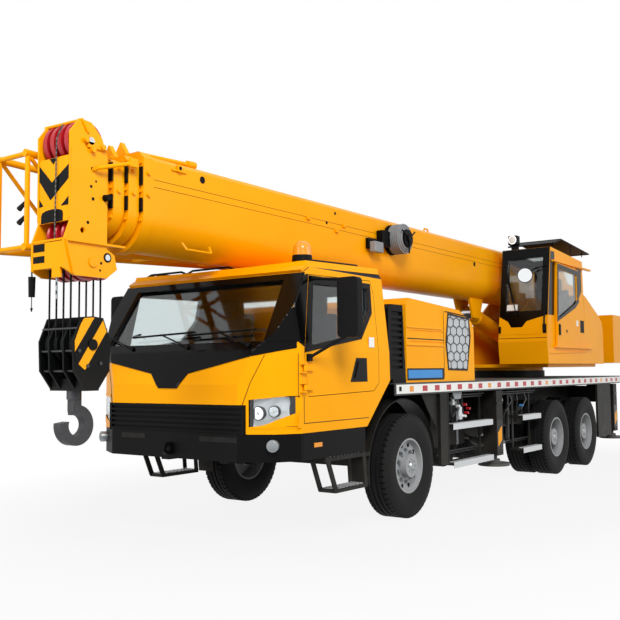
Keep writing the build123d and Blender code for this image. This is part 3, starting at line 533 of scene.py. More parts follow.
trial = bmesh.new()
add_plate(trial, [(0, 0, 0), (1, 0, 0), (0, 1, 0)], (0, 0, 0.01))
print("a plate with three corners has", len(trial.faces), "faces")
trial.free()

# %% [markdown]
# ## Tyres
# A truck tyre is a moulded rubber ring. Its tread has grooves all round and deep cuts across the
# shoulders, so the carcass is one spun ring, the ribs are narrower rings, and one shoulder lug
# is copied round both edges.

# %% Carcass profile
rim_seat = 0.287
# half of the carcass as (y, radius) points, from the bead over the shoulder to the tread
half_carcass = [(0.124, rim_seat), (0.134, 0.325), (0.1465, 0.400), (0.1470, 0.445),
                (0.138, 0.492), (0.126, 0.5205), (0.112, 0.5265)]
ribs = ((-0.058, 0.030), (0.0, 0.034), (0.058, 0.030))
rib_foot, rib_top = 0.523, 0.5405


def add_ring(mesh, centre, profile, steps):
    """A ring spun about a line along Y through a centre, from (y offset, radius) points."""
    verts = [mesh.verts.new(centre + Vector((0, y, radius))) for y, radius in profile]
    edges = [mesh.edges.new((verts[i], verts[(i + 1) % len(verts)])) for i in range(len(verts))]
    bmesh.ops.spin(mesh, geom=verts + edges, cent=centre, axis=(0, 1, 0), angle=math.tau, steps=steps,
                   use_merge=True, use_duplicate=False)


print("carcass radius", half_carcass[-1][1], "over the ribs", rib_top)

# %% [markdown]
# A lug is a block with its outer top edge worn down. One block is made at the tyre's foot and
# turned round the axle to its place, so the same few lines serve all of them.

# %% Shoulder lugs
lug_count, lug_size, lug_y, lug_radius = 54, (0.046, 0.050, 0.026), 0.109, 0.5275


def add_lug(mesh, centre, side, turn):
    """One shoulder lug: a block turned round the axle, with its outer top edge worn down."""
    made = bmesh.ops.create_cube(mesh, size=1.0, matrix=Matrix.Translation(centre)
                                 @ Matrix.Rotation(turn, 4, "Y")
                                 @ Matrix.Translation((0, side * lug_y, lug_radius))
                                 @ Matrix.Diagonal((*lug_size, 1.0)))
    outer = [vert for vert in made["verts"] if (vert.co.y - centre.y) * side > 0.12]
    bmesh.ops.translate(mesh, verts=outer, vec=(0, -side * 0.003, 0))
    top = [vert for vert in outer if (vert.co - centre).length > 0.545]
    bmesh.ops.translate(mesh, verts=top, vec=(0, -side * 0.012, 0))


print("one lug in every", round(360 / lug_count, 2), "degrees")

# %% [markdown]
# Each wheel gets its tyre as one piece that stands for the plain tyre of the frame. Rear wheels
# carry two tyres side by side, so the same function runs twice for them.

# %% Tyres
twin_gap, ring_steps = 0.34, 72


def add_tyre(mesh, centre):
    """Carcass, three ribs and two rows of shoulder lugs round a centre."""
    other_half = [(-y, radius) for y, radius in reversed(half_carcass)]
    add_ring(mesh, centre, half_carcass + other_half, ring_steps)
    for y, width in ribs:
        low, high = y - width / 2, y + width / 2
        add_ring(mesh, centre, [(low - 0.003, rib_foot), (low, rib_top), (high, rib_top),
                                (high + 0.003, rib_foot)], ring_steps)
    for side in (1, -1):
        # the far row is turned by half a pitch, as on a real tread
        shift = 0.5 if side < 0 else 0.0
        for index in range(lug_count):
            add_lug(mesh, centre, side, math.tau / lug_count * (index + shift))


wheels = []
for joint_name, joint in joints.items():
    if joint_name.startswith("roll_"):
        centre = Vector(joint["pos_m"])
        wheels.append((joint_name[len("roll_"):], centre, 1 if centre.y > 0 else -1))
for wheel, centre, side in wheels:
    mesh = bmesh.new()
    add_tyre(mesh, centre)
    if not wheel.startswith("front"):
        add_tyre(mesh, centre - outwards(side, twin_gap))
    tyre = hang(mesh, f"tyre_tread_{wheel}", "rubber", f"wheel_{wheel}", smooth=True)
    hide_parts(f"tyre_{wheel}")
print("wheels", len(wheels), "lugs on each shoulder", lug_count)

# %% [markdown]
# Ten studs hold each wheel. Their nuts stand in a circle round the hub, and the hub's cover
# has a ring of small bolts of its own. Nuts are six-sided cones, so the bar helper makes them.

# %% Wheel nuts and hub covers
nut_count, nut_circle = 10, 0.166
bolt_count, bolt_circle = 8, 0.066


def hub_faces(wheel):
    """How far out the nuts' seat and the hub's cap stand: a rear wheel is dished inwards."""
    return (0.069, 0.150) if wheel.startswith("front") else (-0.076, 0.090)


def round_hub(centre, side, radius, out, turn):
    """A point on a circle round the hub."""
    return centre + Vector((radius * math.cos(turn), side * out, radius * math.sin(turn)))


for wheel, centre, side in wheels:
    seat, cap = hub_faces(wheel)
    mesh = bmesh.new()
    for index in range(nut_count):
        spot = round_hub(centre, side, nut_circle, seat, math.tau / nut_count * (index + 0.5))
        # washer, nut and the stud's end
        for height, radius, corners in ((0.006, 0.024, 16), (0.028, 0.018, 6), (0.040, 0.010, 10)):
            add_rod(mesh, spot, spot + outwards(side, height), radius, corners)
    for index in range(bolt_count):
        spot = round_hub(centre, side, bolt_circle, cap, math.tau / bolt_count * index)
        add_rod(mesh, spot, spot + outwards(side, 0.008), 0.008, 6)
    add_rod(mesh, centre + outwards(side, cap), centre + outwards(side, cap + 0.014), 0.045, 24, 0.036)
    hang(mesh, f"wheel_nuts_{wheel}", "steel", f"wheel_{wheel}")
print("nuts", nut_count * len(wheels))

# %% [markdown]
# Hand holes in the rim's disc let air reach the brakes. A dark disc of painted shade in a raised
# lip stands for the shaded hole and reads as one from any normal distance, leaving the rim's own solid
# untouched.

# %% Hand holes
hole_count, hole_circle, hole_radius, lip_radius = 10, 0.218, 0.024, 0.029
for wheel, centre, side in wheels:
    seat, _ = hub_faces(wheel)
    hole_shade, lips = bmesh.new(), bmesh.new()
    for index in range(hole_count):
        spot = round_hub(centre, side, hole_circle, seat, math.tau / hole_count * index)
        root = spot - outwards(side, 0.002)
        # the dark disc is painted shade for the shaded inside of the hole
        add_rod(hole_shade, root, spot + outwards(side, 0.0022), hole_radius, 20)
        add_rod(lips, root, spot + outwards(side, 0.0012), lip_radius, 20)
    hang(hole_shade, f"wheel_hole_shade_{wheel}", "plastic", f"wheel_{wheel}")
    hang(lips, f"wheel_hole_lips_{wheel}", "steel", f"wheel_{wheel}")
print("hand holes", hole_count * len(wheels))

# %% [markdown]
# ## Carrier cab
# The cab's trim lies on a skin that leans and bends round its corners. Three small functions
# give that skin at any height, so every plate below can follow it.

# %% Cab skin
cab_side, cab_nose = 1.2205, 2.2705
belt, nose_top, screen_foot, screen_ahead = 1.72, 1.43, 1.73, 2.2005
# the corner starts here, and from here on it bends more sharply
corner_start, corner_bend = 0.8, 1.09


def side_skin(z):
    """How far out the cab's side stands at a height: upright, then leaning in."""
    return cab_side if z < belt else cab_side - 0.070 * (z - belt) / 0.76


def nose_skin(z):
    """How far ahead the cab's front stands: upright, then leaning back, then the windscreen."""
    if z < nose_top:
        return cab_nose
    if z < screen_foot:
        return cab_nose - 0.070 * (z - nose_top) / 0.30
    return screen_ahead - 0.440 * (z - screen_foot) / 0.71


def on_nose(y, z, proud=0.0):
    """A point on the cab's front, bent back round its corners."""
    wide = abs(y)
    back = 0.0
    if wide > corner_start:
        back = min(wide - corner_start, 0.29) * 0.16 / 0.29
    if wide > corner_bend:
        back += (wide - corner_bend) * 0.21 / 0.13
    return at(min(nose_skin(z), cab_nose - back) + proud, y, z)


print("side skin at the roof", round(side_skin(2.48), 3), "nose at the sill", round(nose_skin(1.73), 3))

# %% [markdown]
# The glass sits in black rubber, the pillars beside it are black too, and a black apron in the
# shape of a wide V fills the space under the windscreen. One flat plate would cut through the
# bent corners, so each is a grid of points that are laid on the skin one by one.

# %% Windscreen border and apron


def add_sheet(mesh, place, low, high, proud, push, rows):
    """A thin sheet between two rows of (y, z) points; place puts each point on a bent skin."""
    grid = [[mesh.verts.new(place(y0 + (y1 - y0) * row / rows, z0 + (z1 - z0) * row / rows, proud))
             for (y0, z0), (y1, z1) in zip(low, high)] for row in range(rows + 1)]
    faces = [mesh.faces.new((grid[r][c], grid[r][c + 1], grid[r + 1][c + 1], grid[r + 1][c]))
             for r in range(rows) for c in range(len(low) - 1)]
    push_out(mesh, faces, push)


def refined(points, parts):
    """The same line with each stretch cut into parts."""
    line = [(y0 + (y1 - y0) * k / parts, z0 + (z1 - z0) * k / parts)
            for (y0, z0), (y1, z1) in zip(points[:-1], points[1:]) for k in range(parts)]
    return line + [points[-1]]


glass_foot, glass_top, header_foot = 1.805, 2.432, 2.372
border_proud, border_push = 0.005, (0.003, 0, 0.001)
apron_edge = [(-1.20, 1.715), (-1.09, 1.672), (-0.8, 1.625), (-0.29, 1.530), (-0.17, 1.395),
              (0.07, 1.395), (0.19, 1.530), (0.8, 1.655), (1.09, 1.712), (1.20, 1.745)]
mesh = bmesh.new()
apron = refined(apron_edge, 8)
add_sheet(mesh, on_nose, apron, [(y, glass_foot) for y, _ in apron], border_proud, border_push, 12)
for side in (1, -1):
    # strip beside the glass, bent round the corner
    steps = [k / 20 for k in range(21)]
    low = [(side * (1.005 + 0.206 * k), 1.800) for k in steps]
    high = [(side * (0.955 + 0.198 * k), glass_top) for k in steps]
    add_sheet(mesh, on_nose, low, high, border_proud, border_push, 48)
header = (-0.96, -0.8, 0.8, 0.96)
add_sheet(mesh, on_nose, [(y, header_foot) for y in header], [(y, glass_top) for y in header],
          border_proud, border_push, 1)
hang(mesh, "windscreen_border", "gloss_black", "carrier")
print("apron columns", len(apron))

# %% [markdown]
# Three wipers clear a screen this wide. Each is a pivot, an arm and a blade, parked flat
# across the glass. All are thin bars, so nothing more than the bar helper is needed.

# %% Wipers
mesh = bmesh.new()
for y in (-0.62, 0.12, 0.86):
    # pivot and arm, then the blade with its thin spring bar
    foot = on_nose(y, 1.775, 0.012)
    elbow = on_nose(y - 0.42, 1.905, 0.030)
    add_rod(mesh, foot - Vector((0.01, 0, 0)), foot + Vector((0.022, 0, 0.004)), 0.020, 12)
    add_pipe(mesh, [foot + Vector((0.014, 0, 0)), elbow], 0.008, 8)
    blade_ends = (on_nose(y - 0.80, 1.885, 0.016), on_nose(y + 0.02, 1.915, 0.016))
    ahead = Vector((0.010, 0, 0.004))
    add_rod(mesh, *blade_ends, 0.009, 8)
    add_rod(mesh, *(end + ahead for end in blade_ends), 0.005, 6)
hang(mesh, "wipers", "plastic", "carrier")
print("wipers parked")

# %% [markdown]
# ## Lamps
# A headlamp is a clear shell over a tray of silver facets, painted near white as a painted
# reflection. The facets are a small grid whose points step in and out by turns, which breaks the
# reflection up as a real tray does.

# %% Headlamp trays
lamp_rows = (1.065, 1.130, 1.195, 1.260, 1.325)
lamp_columns = (0.892, 0.985, 1.085, 1.150, 1.212)


def lamp_skin(side, y, z, depth):
    """A point of the lamp's outer skin, moved inwards by depth."""
    return on_nose(side * y, z, -0.0015) - Vector((0.8, side * 0.6, 0)) * depth


for side, name in sides:
    mesh = bmesh.new()
    ridges = [[mesh.verts.new(lamp_skin(side, y, z, 0.055 + 0.012 * ((r + c) % 2)))
               for c, y in enumerate(lamp_columns)] for r, z in enumerate(lamp_rows)]
    for r in range(len(lamp_rows) - 1):
        for c in range(len(lamp_columns) - 1):
            mesh.faces.new((ridges[r][c], ridges[r][c + 1], ridges[r + 1][c + 1], ridges[r + 1][c]))
    # the tray's near-white colour is a painted reflection over its silver
    tray = hang(mesh, f"headlamp_tray_{name}", "lamp_silver_and_reflection", "carrier")
    if side > 0:
        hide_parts("headlamps")
print("facets in a tray", (len(lamp_rows) - 1) * (len(lamp_columns) - 1))

# %% [markdown]
# Two round reflectors stand in each tray: a dark ring, a polished cup and a bulb. Each part is
# a short cone along the lamp's aim, and needs an object of its own, because it has its own finish.

# %% Headlamp reflectors
bowls = ((0.965, 1.180, 0.060), (1.085, 1.195, 0.050))
for side, name in sides:
    rings, cups, bulbs = bmesh.new(), bmesh.new(), bmesh.new()
    for y, z, radius in bowls:
        centre = lamp_skin(side, y, z, 0.050)
        aim = Vector((1.0, side * (0.10 + (y - 0.9) * 1.2), 0)).normalized()
        add_rod(rings, centre - aim * 0.02, centre + aim * 0.020, radius, 28, radius * 1.04)
        add_rod(cups, centre, centre + aim * 0.026, radius * 0.40, 28, radius * 0.88)
        add_rod(bulbs, centre + aim * 0.02, centre + aim * 0.034, radius * 0.30, 16, radius * 0.22)
    hang(rings, f"headlamp_rings_{name}", "forged", "carrier", smooth=True)
    hang(cups, f"headlamp_cups_{name}", "chrome", "carrier", smooth=True)
    hang(bulbs, f"headlamp_bulbs_{name}", "white", "carrier", smooth=True)
print("reflectors on each side", len(bowls))

# %% [markdown]
# The clear shell continues the cab's skin, so it is laid on that skin as the apron was, and a
# dark rim of thin pipe hides its edge.

# %% Headlamp shells
for side, name in sides:
    mesh = bmesh.new()
    low, high = ([(side * y, z) for y in lamp_columns] for z in (lamp_rows[0], lamp_rows[-1]))
    add_sheet(mesh, on_nose, low, high, -0.001, (-0.003, 0, 0), 4)
    hang(mesh, f"headlamp_shell_{name}", "lens", "carrier", smooth=True)
    mesh = bmesh.new()
    rim_low, rim_high, rim_in = lamp_rows[0] - 0.001, lamp_rows[-1] + 0.001, lamp_columns[0] - 0.002
    for z in (rim_low, rim_high):
        add_pipe(mesh, [on_nose(side * y, z, -0.002) for y in lamp_columns], 0.005, 8)
    inner_edge = [on_nose(side * rim_in, z, -0.002) for z in (rim_low, rim_high)]
    add_rod(mesh, *inner_edge, 0.006, 8)
    hang(mesh, f"headlamp_rim_{name}", "gloss_black", "carrier", smooth=True)
print("shell height", round(lamp_rows[-1] - lamp_rows[0], 3))

# %% [markdown]
# Below the headlamps sit round fog lamps, two flat panels in the skirt, and a small amber
# marker on each side. A fog lamp is a short drum with a shallow cone for its lens.

# %% Fog lamps, skirt panels and side markers
shells, lenses, markers, panels = bmesh.new(), bmesh.new(), bmesh.new(), bmesh.new()
for side in (1, -1):
    centre = at(2.12, side * 1.075, 0.905)
    aim = Vector((0.86, side * 0.5, 0)).normalized()
    add_rod(shells, centre - aim * 0.02, centre + aim * 0.055, 0.052, 24)
    add_rod(lenses, centre + aim * 0.055, centre + aim * 0.066, 0.046, 24, 0.030)
    add_block(markers, at(1.60, side * 1.2155, 0.865), at(1.72, side * 1.226, 0.905), 0.003)
for low, high in ((-0.66, -0.34), (0.36, 0.80)):
    add_block(panels, at(2.279, low, 0.925), at(2.284, high, 0.972), 0.002)
hang(shells, "fog_lamp_shells", "steel", "carrier", smooth=True)
hang(lenses, "fog_lamp_lenses", "pale_grey", "carrier", smooth=True)
hang(panels, "skirt_panels", "black", "carrier")
hang(markers, "side_markers", "amber", "carrier")
print("front lamps done")

# %% [markdown]
# ## Doors and panels
# Doors and hatches meet in narrow dark gaps. Each gap is a thin dark strip laid along the
# joint, because a real slit of a few millimetres would hardly show from a few metres away.

# %% Panel joints on the cab


def add_joint(mesh, points, side, width=0.006):
    """A dark strip along (station, z) points on the cab's side."""
    for (s0, z0), (s1, z1) in zip(points[:-1], points[1:]):
        run = Vector((s1 - s0, 0, z1 - z0))
        across = Vector((-run.z, 0, run.x)).normalized() * width / 2
        start, end = at(s0, side * side_skin(z0), z0), at(s1, side * side_skin(z1), z1)
        add_plate(mesh, [start - across, end - across, end + across, start + across],
                  outwards(side, 0.0015))


side_joints = (((1.866, 1.32), (1.866, 1.08)), ((1.866, 1.085), (0.80, 1.085)),
               ((1.945, 1.31), (1.945, 1.70)))
# sloping joint between the nose panel and its corner, as (y, z) points
nose_joint = ((0.835, 1.25), (0.90, 1.45), (1.01, 1.685))
side_strips, nose_strips = bmesh.new(), bmesh.new()
for side in (1, -1):
    for points in side_joints:
        add_joint(side_strips, points, side)
    spots = [on_nose(side * y, z, 0.0005) for y, z in nose_joint]
    for start, end in zip(spots[:-1], spots[1:]):
        add_rod(nose_strips, start, end, 0.003, 6)
hang(side_strips, "cab_side_joints", "black", "carrier")
hang(nose_strips, "nose_joints", "black", "carrier")
print("joints on each side", len(side_joints) + 1)

# %% [markdown]
# A door's window is held by a black rubber frame. The frame is a strip between two outlines:
# the edge of the clear glass and the edge of the rubber. It rides on the door and opens with it.

# %% Door windows
door_window = ((1.745, 1.770), (1.640, 2.340), (0.690, 2.360), (0.720, 2.140), (0.930, 1.900))
window_rim = ((1.851, 1.708), (1.697, 2.411), (0.650, 2.412), (0.665, 2.115), (0.900, 1.850))
for side, name in sides:
    mesh = bmesh.new()
    inner, outer = ([at(s, side * (side_skin(z) + 0.0005), z) for s, z in line]
                    for line in (door_window, window_rim))
    add_band(mesh, inner, outer, outwards(side, 0.005))
    hang(mesh, f"door_window_frame_{name}", "gloss_black", f"cab_door_{name}")
print("frame corners", len(door_window))

# %% [markdown]
# The pull handle lies in a dark cup under the window, and a small blank plaque sits behind it.
# Both are plates on the door's skin: the cup is flat, and the grip stands proud of it.

# %% Door handles and plaques
for side, name in sides:
    mesh = bmesh.new()
    add_plate(mesh, on_side(side * 1.2202, ((1.015, 1.665), (0.825, 1.665), (0.815, 1.435),
                                            (1.12, 1.435))), outwards(side, 0.002))
    add_plate(mesh, on_side(side * 1.2220, ((0.985, 1.63), (0.86, 1.63), (0.86, 1.47),
                                            (1.05, 1.47))), outwards(side, 0.012))
    hang(mesh, f"door_handle_{name}", "gloss_black", f"cab_door_{name}")
    mesh = bmesh.new()
    add_plate(mesh, on_side(side * cab_side, ((0.78, 1.77), (0.68, 1.77), (0.68, 1.87),
                                            (0.78, 1.87))), outwards(side, 0.001))
    hang(mesh, f"door_plaque_{name}", "white", f"cab_door_{name}")
print("doors trimmed")

# %% [markdown]
# A black cover joins the door's window to the windscreen, so the glass seems to run round the
# corner. A bead of thin pipe along the corner closes the seam between the two borders.

# %% Pillar covers
mesh = bmesh.new()
for side in (1, -1):
    add_plate(mesh, [at(s, side * side_skin(z), z) for s, z in
                     ((1.848, 1.755), (1.910, 1.79), (1.956, 2.10), (1.780, 2.405), (1.706, 2.425))],
              outwards(side, 0.002))
    bead = [(1.90 + (1.22 - side_skin(z)) * 0.21 / 0.13, z) for z in (1.79, 1.90, 2.00, 2.10)]
    bead += [(nose_skin(z) - 0.002, z) for z in (2.14, 2.24, 2.34, 2.43)]
    add_pipe(mesh, [at(s - 0.004, side * (side_skin(z) - 0.004), z) for s, z in bead], 0.011, 10)
hang(mesh, "pillar_covers", "gloss_black", "carrier")
print("bead points", len(bead))

# %% [markdown]
# Low rails run along both edges of the roof and across its front. They are bent bars, so a list
# of points for each is all that the pipe helper needs.

# %% Roof rails
mesh = bmesh.new()
for side in (1, -1):
    add_pipe(mesh, on_side(side * 0.98, ((1.60, 2.545), (1.56, 2.585), (0.62, 2.615),
                                         (0.56, 2.580))), 0.012)
for y0, y1 in ((-1.02, -0.42), (-0.42, 0.22)):
    add_pipe(mesh, [at(1.64, y0, 2.540), at(1.64, y0 + 0.08, 2.570), at(1.64, y1 - 0.08, 2.570),
                    at(1.64, y1, 2.540)], 0.011)
hang(mesh, "roof_rails", "black", "carrier")
print("rails bent")

# %% [markdown]
# An amber beacon warns others while the crane works. A dark foot and ring carry a short cone
# with a ball on top, and smooth shading melts the two into one dome.

# %% Beacon
beacon = at(1.47, 0.92, 2.580)
ring_height, dome_height, dome_radius = Vector((0, 0, 0.055)), Vector((0, 0, 0.11)), 0.086
base, dome = bmesh.new(), bmesh.new()
add_rod(base, beacon - ring_height, beacon, 0.045, 20)
add_rod(base, beacon, beacon + ring_height, 0.098, 28, 0.094)
hang(base, "beacon_base", "plastic", "carrier", smooth=True)
add_rod(dome, beacon + ring_height, beacon + dome_height, 0.090, 28, dome_radius)
bmesh.ops.create_uvsphere(dome, u_segments=28, v_segments=14, radius=dome_radius,
                          matrix=Matrix.Translation(beacon + dome_height))
hang(dome, "beacon_dome", "amber", "carrier", smooth=True)
print("beacon top at z =", round((beacon + dome_height).z + dome_radius, 3))

# %% [markdown]
# Each mirror housing holds a large flat glass and a smaller one under it. Glass is a thin block
# with the mirror finish, and it rides on the door that carries the housing.

# %% Mirror glass
for side, name in sides:
    mesh = bmesh.new()
    for low, high in ((2.02, 2.35), (1.87, 1.99)):
        add_block(mesh, at(1.519, side * 1.425, low), at(1.514, side * 1.595, high))
    hang(mesh, f"mirror_glass_{name}", "mirror", f"cab_door_{name}")
print("mirrors fitted")

# %% [markdown]
# ## Deck edge
# A white strip runs along the deck's edge. Red reflecting squares sit on it at an even pitch,
# with an amber one now and then, so a loop lays them out from the strip's own length.

# %% Deck strip and reflectors
deck_face, strip_front, strip_rear, strip_low, strip_high = 1.2205, 0.255, -7.70, 1.297, 1.392
reflector_count, reflector_pitch, first_reflector = 27, 0.2854, -0.02
amber_places = (0, 7, 14, 23)
strips, reds, ambers, blacks = bmesh.new(), bmesh.new(), bmesh.new(), bmesh.new()
for side in (1, -1):
    root, top, proud = (side * (deck_face + rise) for rise in (0.0, 0.003, 0.005))
    add_block(strips, at(strip_front, root, strip_low), at(strip_rear, top, strip_high))
    add_block(blacks, at(0.205, top, 1.325), at(0.155, proud, 1.372))
    for index in range(reflector_count):
        station = first_reflector - reflector_pitch * index
        target, width = (ambers, 0.085) if index in amber_places else (reds, 0.11)
        add_block(target, at(station, top, strip_low + 0.018),
                  at(station - width, proud, strip_high - 0.018))
hang(strips, "deck_strip", "white", "carrier")
hang(reds, "deck_reflectors_red", "red_lens", "carrier")
hang(ambers, "deck_reflectors_amber", "amber", "carrier")
hang(blacks, "deck_socket", "plastic", "carrier")
print("reflectors on each side", reflector_count)

# %% [markdown]
# ## Engine hood
# Long pressed ribs stiffen the hood's side, and a blank blue plate sits at its foot. Pressing
# them into the sheet would need a dense mesh, so the ribs are bars sunk to half their depth.

# %% Hood ribs and plate
hood_side = 1.190
bend = [(-0.82 - 0.04 * math.sin(a), 2.045 - 0.04 * math.cos(a)) for a in (0.0, 0.5, 1.0, 1.57)]
upper_rib = [(-0.03, 2.005), *bend, (-0.868, 2.17)]
for side, name in sides:
    skin = side * hood_side
    ribs, borders, plates = bmesh.new(), bmesh.new(), bmesh.new()
    add_pipe(ribs, on_side(skin, upper_rib), 0.012, 10)
    add_pipe(ribs, on_side(skin, ((-0.03, 1.815), (-0.88, 1.815))), 0.013, 10)
    hang(ribs, f"hood_ribs_{name}", "yellow", "carrier", smooth=True)
    add_block(borders, at(-0.03, side * 1.1895, 1.432), at(-0.885, side * 1.1915, 1.562))
    add_block(borders, at(-0.900, side * 1.1895, 1.877), at(-0.04, side * 1.1915, 1.888))
    hang(borders, f"hood_plate_border_{name}", "gloss_black", "carrier")
    add_block(plates, at(-0.055, side * 1.1905, 1.455), at(-0.84, side * 1.1930, 1.545))
    hang(plates, f"hood_plate_{name}", "blue", "carrier")
print("rib corners", len(upper_rib))

# %% [markdown]
# Behind the hood's side opening stands the radiator. Its fins and its guard both have to stop
# at a slanted outline, so two helpers come first: one shrinks an outline, and one tells whether
# a point lies inside it.

# %% Guard outline
guard_outline = [(-1.00, 2.200), (-1.56, 2.165), (-1.60, 1.95), (-1.50, 1.53), (-0.99, 1.54),
                 (-0.935, 1.86)]


def shrunk(outline, amount):
    """The outline moved inwards: each corner goes towards the middle by amount."""
    middle_s = sum(s for s, _ in outline) / len(outline)
    middle_z = sum(z for _, z in outline) / len(outline)
    moved = []
    for s, z in outline:
        away = math.hypot(s - middle_s, z - middle_z)
        moved.append((s + (middle_s - s) * amount / away, z + (middle_z - z) * amount / away))
    return moved


def inside(outline, s, z):
    """True where the point lies inside the outline (crossing count)."""
    crossings = 0
    for (s0, z0), (s1, z1) in zip(outline, outline[1:] + outline[:1]):
        if (z0 > z) != (z1 > z) and s < s0 + (s1 - s0) * (z - z0) / (z1 - z0):
            crossings += 1
    return crossings % 2 == 1


hole_line = shrunk(guard_outline, 0.02)
print("middle inside:", inside(hole_line, -1.3, 1.9), "corner inside:", inside(hole_line, -1.6, 2.2))

# %% [markdown]
# A radiator is hundreds of thin fins. Thirty upright strips, each cut to the outline's height
# at its place, give the same fine lines for little mesh.

# %% Radiator fins
fin_count, fin_pitch, fin_width, first_fin = 34, 0.0175, 0.007, -0.965
heights = [1.55 + 0.01 * k for k in range(64)]
for side, name in sides:
    mesh = bmesh.new()
    add_plate(mesh, on_side(side * 1.1895, guard_outline), outwards(side, 0.002))
    for index in range(fin_count):
        s = first_fin - fin_pitch * index
        rows = [z for z in heights if inside(guard_outline, s, z)]
        if rows:
            add_block(mesh, at(s, side * 1.1910, min(rows)),
                      at(s - fin_width, side * 1.1935, max(rows)))
    hang(mesh, f"radiator_fins_{name}", "radiator", "carrier")
print("fins", fin_count)

# %% [markdown]
# The guard is a net of hexagons in thin wire. Each side of each cell is walked in small steps,
# and only the stretch inside the frame becomes a wire, so the net ends cleanly at the frame.

# %% Guard wires and frame
cell_wide, cell_tall, wire_radius, wire_out = 0.158, 0.132, 0.0042, 1.1965
guard_rows, guard_columns, first_s, first_z = 8, 6, -0.90, 1.50
hexagon = [(0.0, 0.5), (0.5, 0.25), (0.5, -0.25), (0.0, -0.5), (-0.5, -0.25), (-0.5, 0.25)]
steps = [k / 12 for k in range(13)]


def add_cell(mesh, side, middle_s, middle_z):
    """The wires of one hexagon that lie inside the frame."""
    for (u0, v0), (u1, v1) in zip(hexagon, hexagon[1:] + hexagon[:1]):
        walk = [(middle_s + cell_wide * (u0 + (u1 - u0) * k),
                 middle_z + cell_tall * (v0 + (v1 - v0) * k)) for k in steps]
        kept = [point for point in walk if inside(hole_line, *point)]
        if len(kept) > 1:
            add_rod(mesh, *on_side(side * wire_out, (kept[0], kept[-1])), wire_radius, 6)


for side, name in sides:
    mesh = bmesh.new()
    for row in range(guard_rows):
        for column in range(guard_columns):
            # every second row is shifted by half a cell, as in a honeycomb
            shift = 0.5 if row % 2 else 0.0
            add_cell(mesh, side, first_s - cell_wide * (column + shift),
                     first_z + cell_tall * 0.75 * row)
    hang(mesh, f"radiator_guard_{name}", "forged", "carrier")
    mesh = bmesh.new()
    inner, outer = (on_side(side * 1.1905, line)
                    for line in (shrunk(guard_outline, 0.026), guard_outline))
    add_band(mesh, inner, outer, outwards(side, 0.007))
    hang(mesh, f"radiator_frame_{name}", "gloss_black", "carrier")
    mesh = bmesh.new()
    add_rod(mesh, *on_side(side * hood_side, ((-0.94, 2.215), (-1.60, 2.180))), 0.007, 8)
    add_rod(mesh, *on_side(side * hood_side, ((-0.895, 1.45), (-0.895, 2.22))), 0.0035, 8)
    hang(mesh, f"hood_edge_{name}", "black", "carrier")
print("guard cells tried", guard_rows * guard_columns)

# %% [markdown]
# ## Operator's cab
# A black border in the shape of a shallow V runs under the front glass. The corner post and
# the door's window frame are black as well, and the rest of the door is body colour.

# %% Operator's cab front


def operator_front(z):
    """Station of the cab's front face at a height."""
    rows = ((1.62, -4.270), (1.95, -4.230), (3.38, -4.480), (3.40, -4.482))
    for (z0, s0), (z1, s1) in zip(rows[:-1], rows[1:]):
        if z <= z1:
            return s0 + (s1 - s0) * (z - z0) / (z1 - z0)
    return rows[-1][1]


def on_operator(y, z, proud=0.0):
    """A point on the operator's cab front."""
    return at(operator_front(z) + proud, y, z)


print("front leans back by", round(operator_front(1.95) - operator_front(3.38), 3))

# %% [markdown]
# The sheets below use the same grid helper as the windscreen. A yellow panel closes the front
# under the V, the black V lies over it, and two strips and a header frame the glass.

# %% Front border and panel
front_left, front_right, sill_top, glass_head, front_top = 0.425, 1.180, 2.415, 3.225, 3.378
front_proud, front_push, front_rows = 0.004, (0.003, 0, 0), 6
operator_side = 1.1845
vee = [(front_left, 2.34), (0.565, 2.26), (0.62, 2.17), (0.79, 2.17), (0.86, 2.26),
       (front_right, 2.345)]
mesh = bmesh.new()
add_sheet(mesh, on_operator, [(y, 2.06) for y, _ in vee], [(y, z + 0.01) for y, z in vee],
          front_proud, (0.002, 0, 0), front_rows)
hang(mesh, "operator_front_panel", "yellow", "superstructure")
mesh = bmesh.new()
add_sheet(mesh, on_operator, vee, [(y, sill_top) for y, _ in vee], front_proud, front_push, front_rows)
for low, high, left, right, rows in ((sill_top, front_top, front_left, 0.525, front_rows),
                                     (sill_top, front_top, 1.080, front_right, front_rows),
                                     (glass_head, front_top, 0.525, 1.080, 1)):
    add_sheet(mesh, on_operator, [(left, low), (right, low)], [(left, high), (right, high)],
              front_proud, front_push, rows)
# the border folds over the roof's front edge
add_plate(mesh, [at(-4.486, front_left, 3.3805), at(-4.486, front_right, 3.3805),
                 at(-4.660, front_right, 3.3705), at(-4.660, front_left, 3.3705)], (0, 0, 0.004))
# corner post round onto the side
add_plate(mesh, on_side(operator_side, ((-4.305, 2.345), (-4.475, 3.320), (-4.640, 3.320),
                                        (-4.640, 3.160), (-4.555, 2.345))), (0, 0.0006, 0))
hang(mesh, "operator_front_border", "gloss_black", "superstructure")
print("vee corners", len(vee))

# %% [markdown]
# One wiper, a grab handle, a lock and a blank label finish the front. They stand out from the
# leaning face, so their points come from the same skin function with a larger distance.

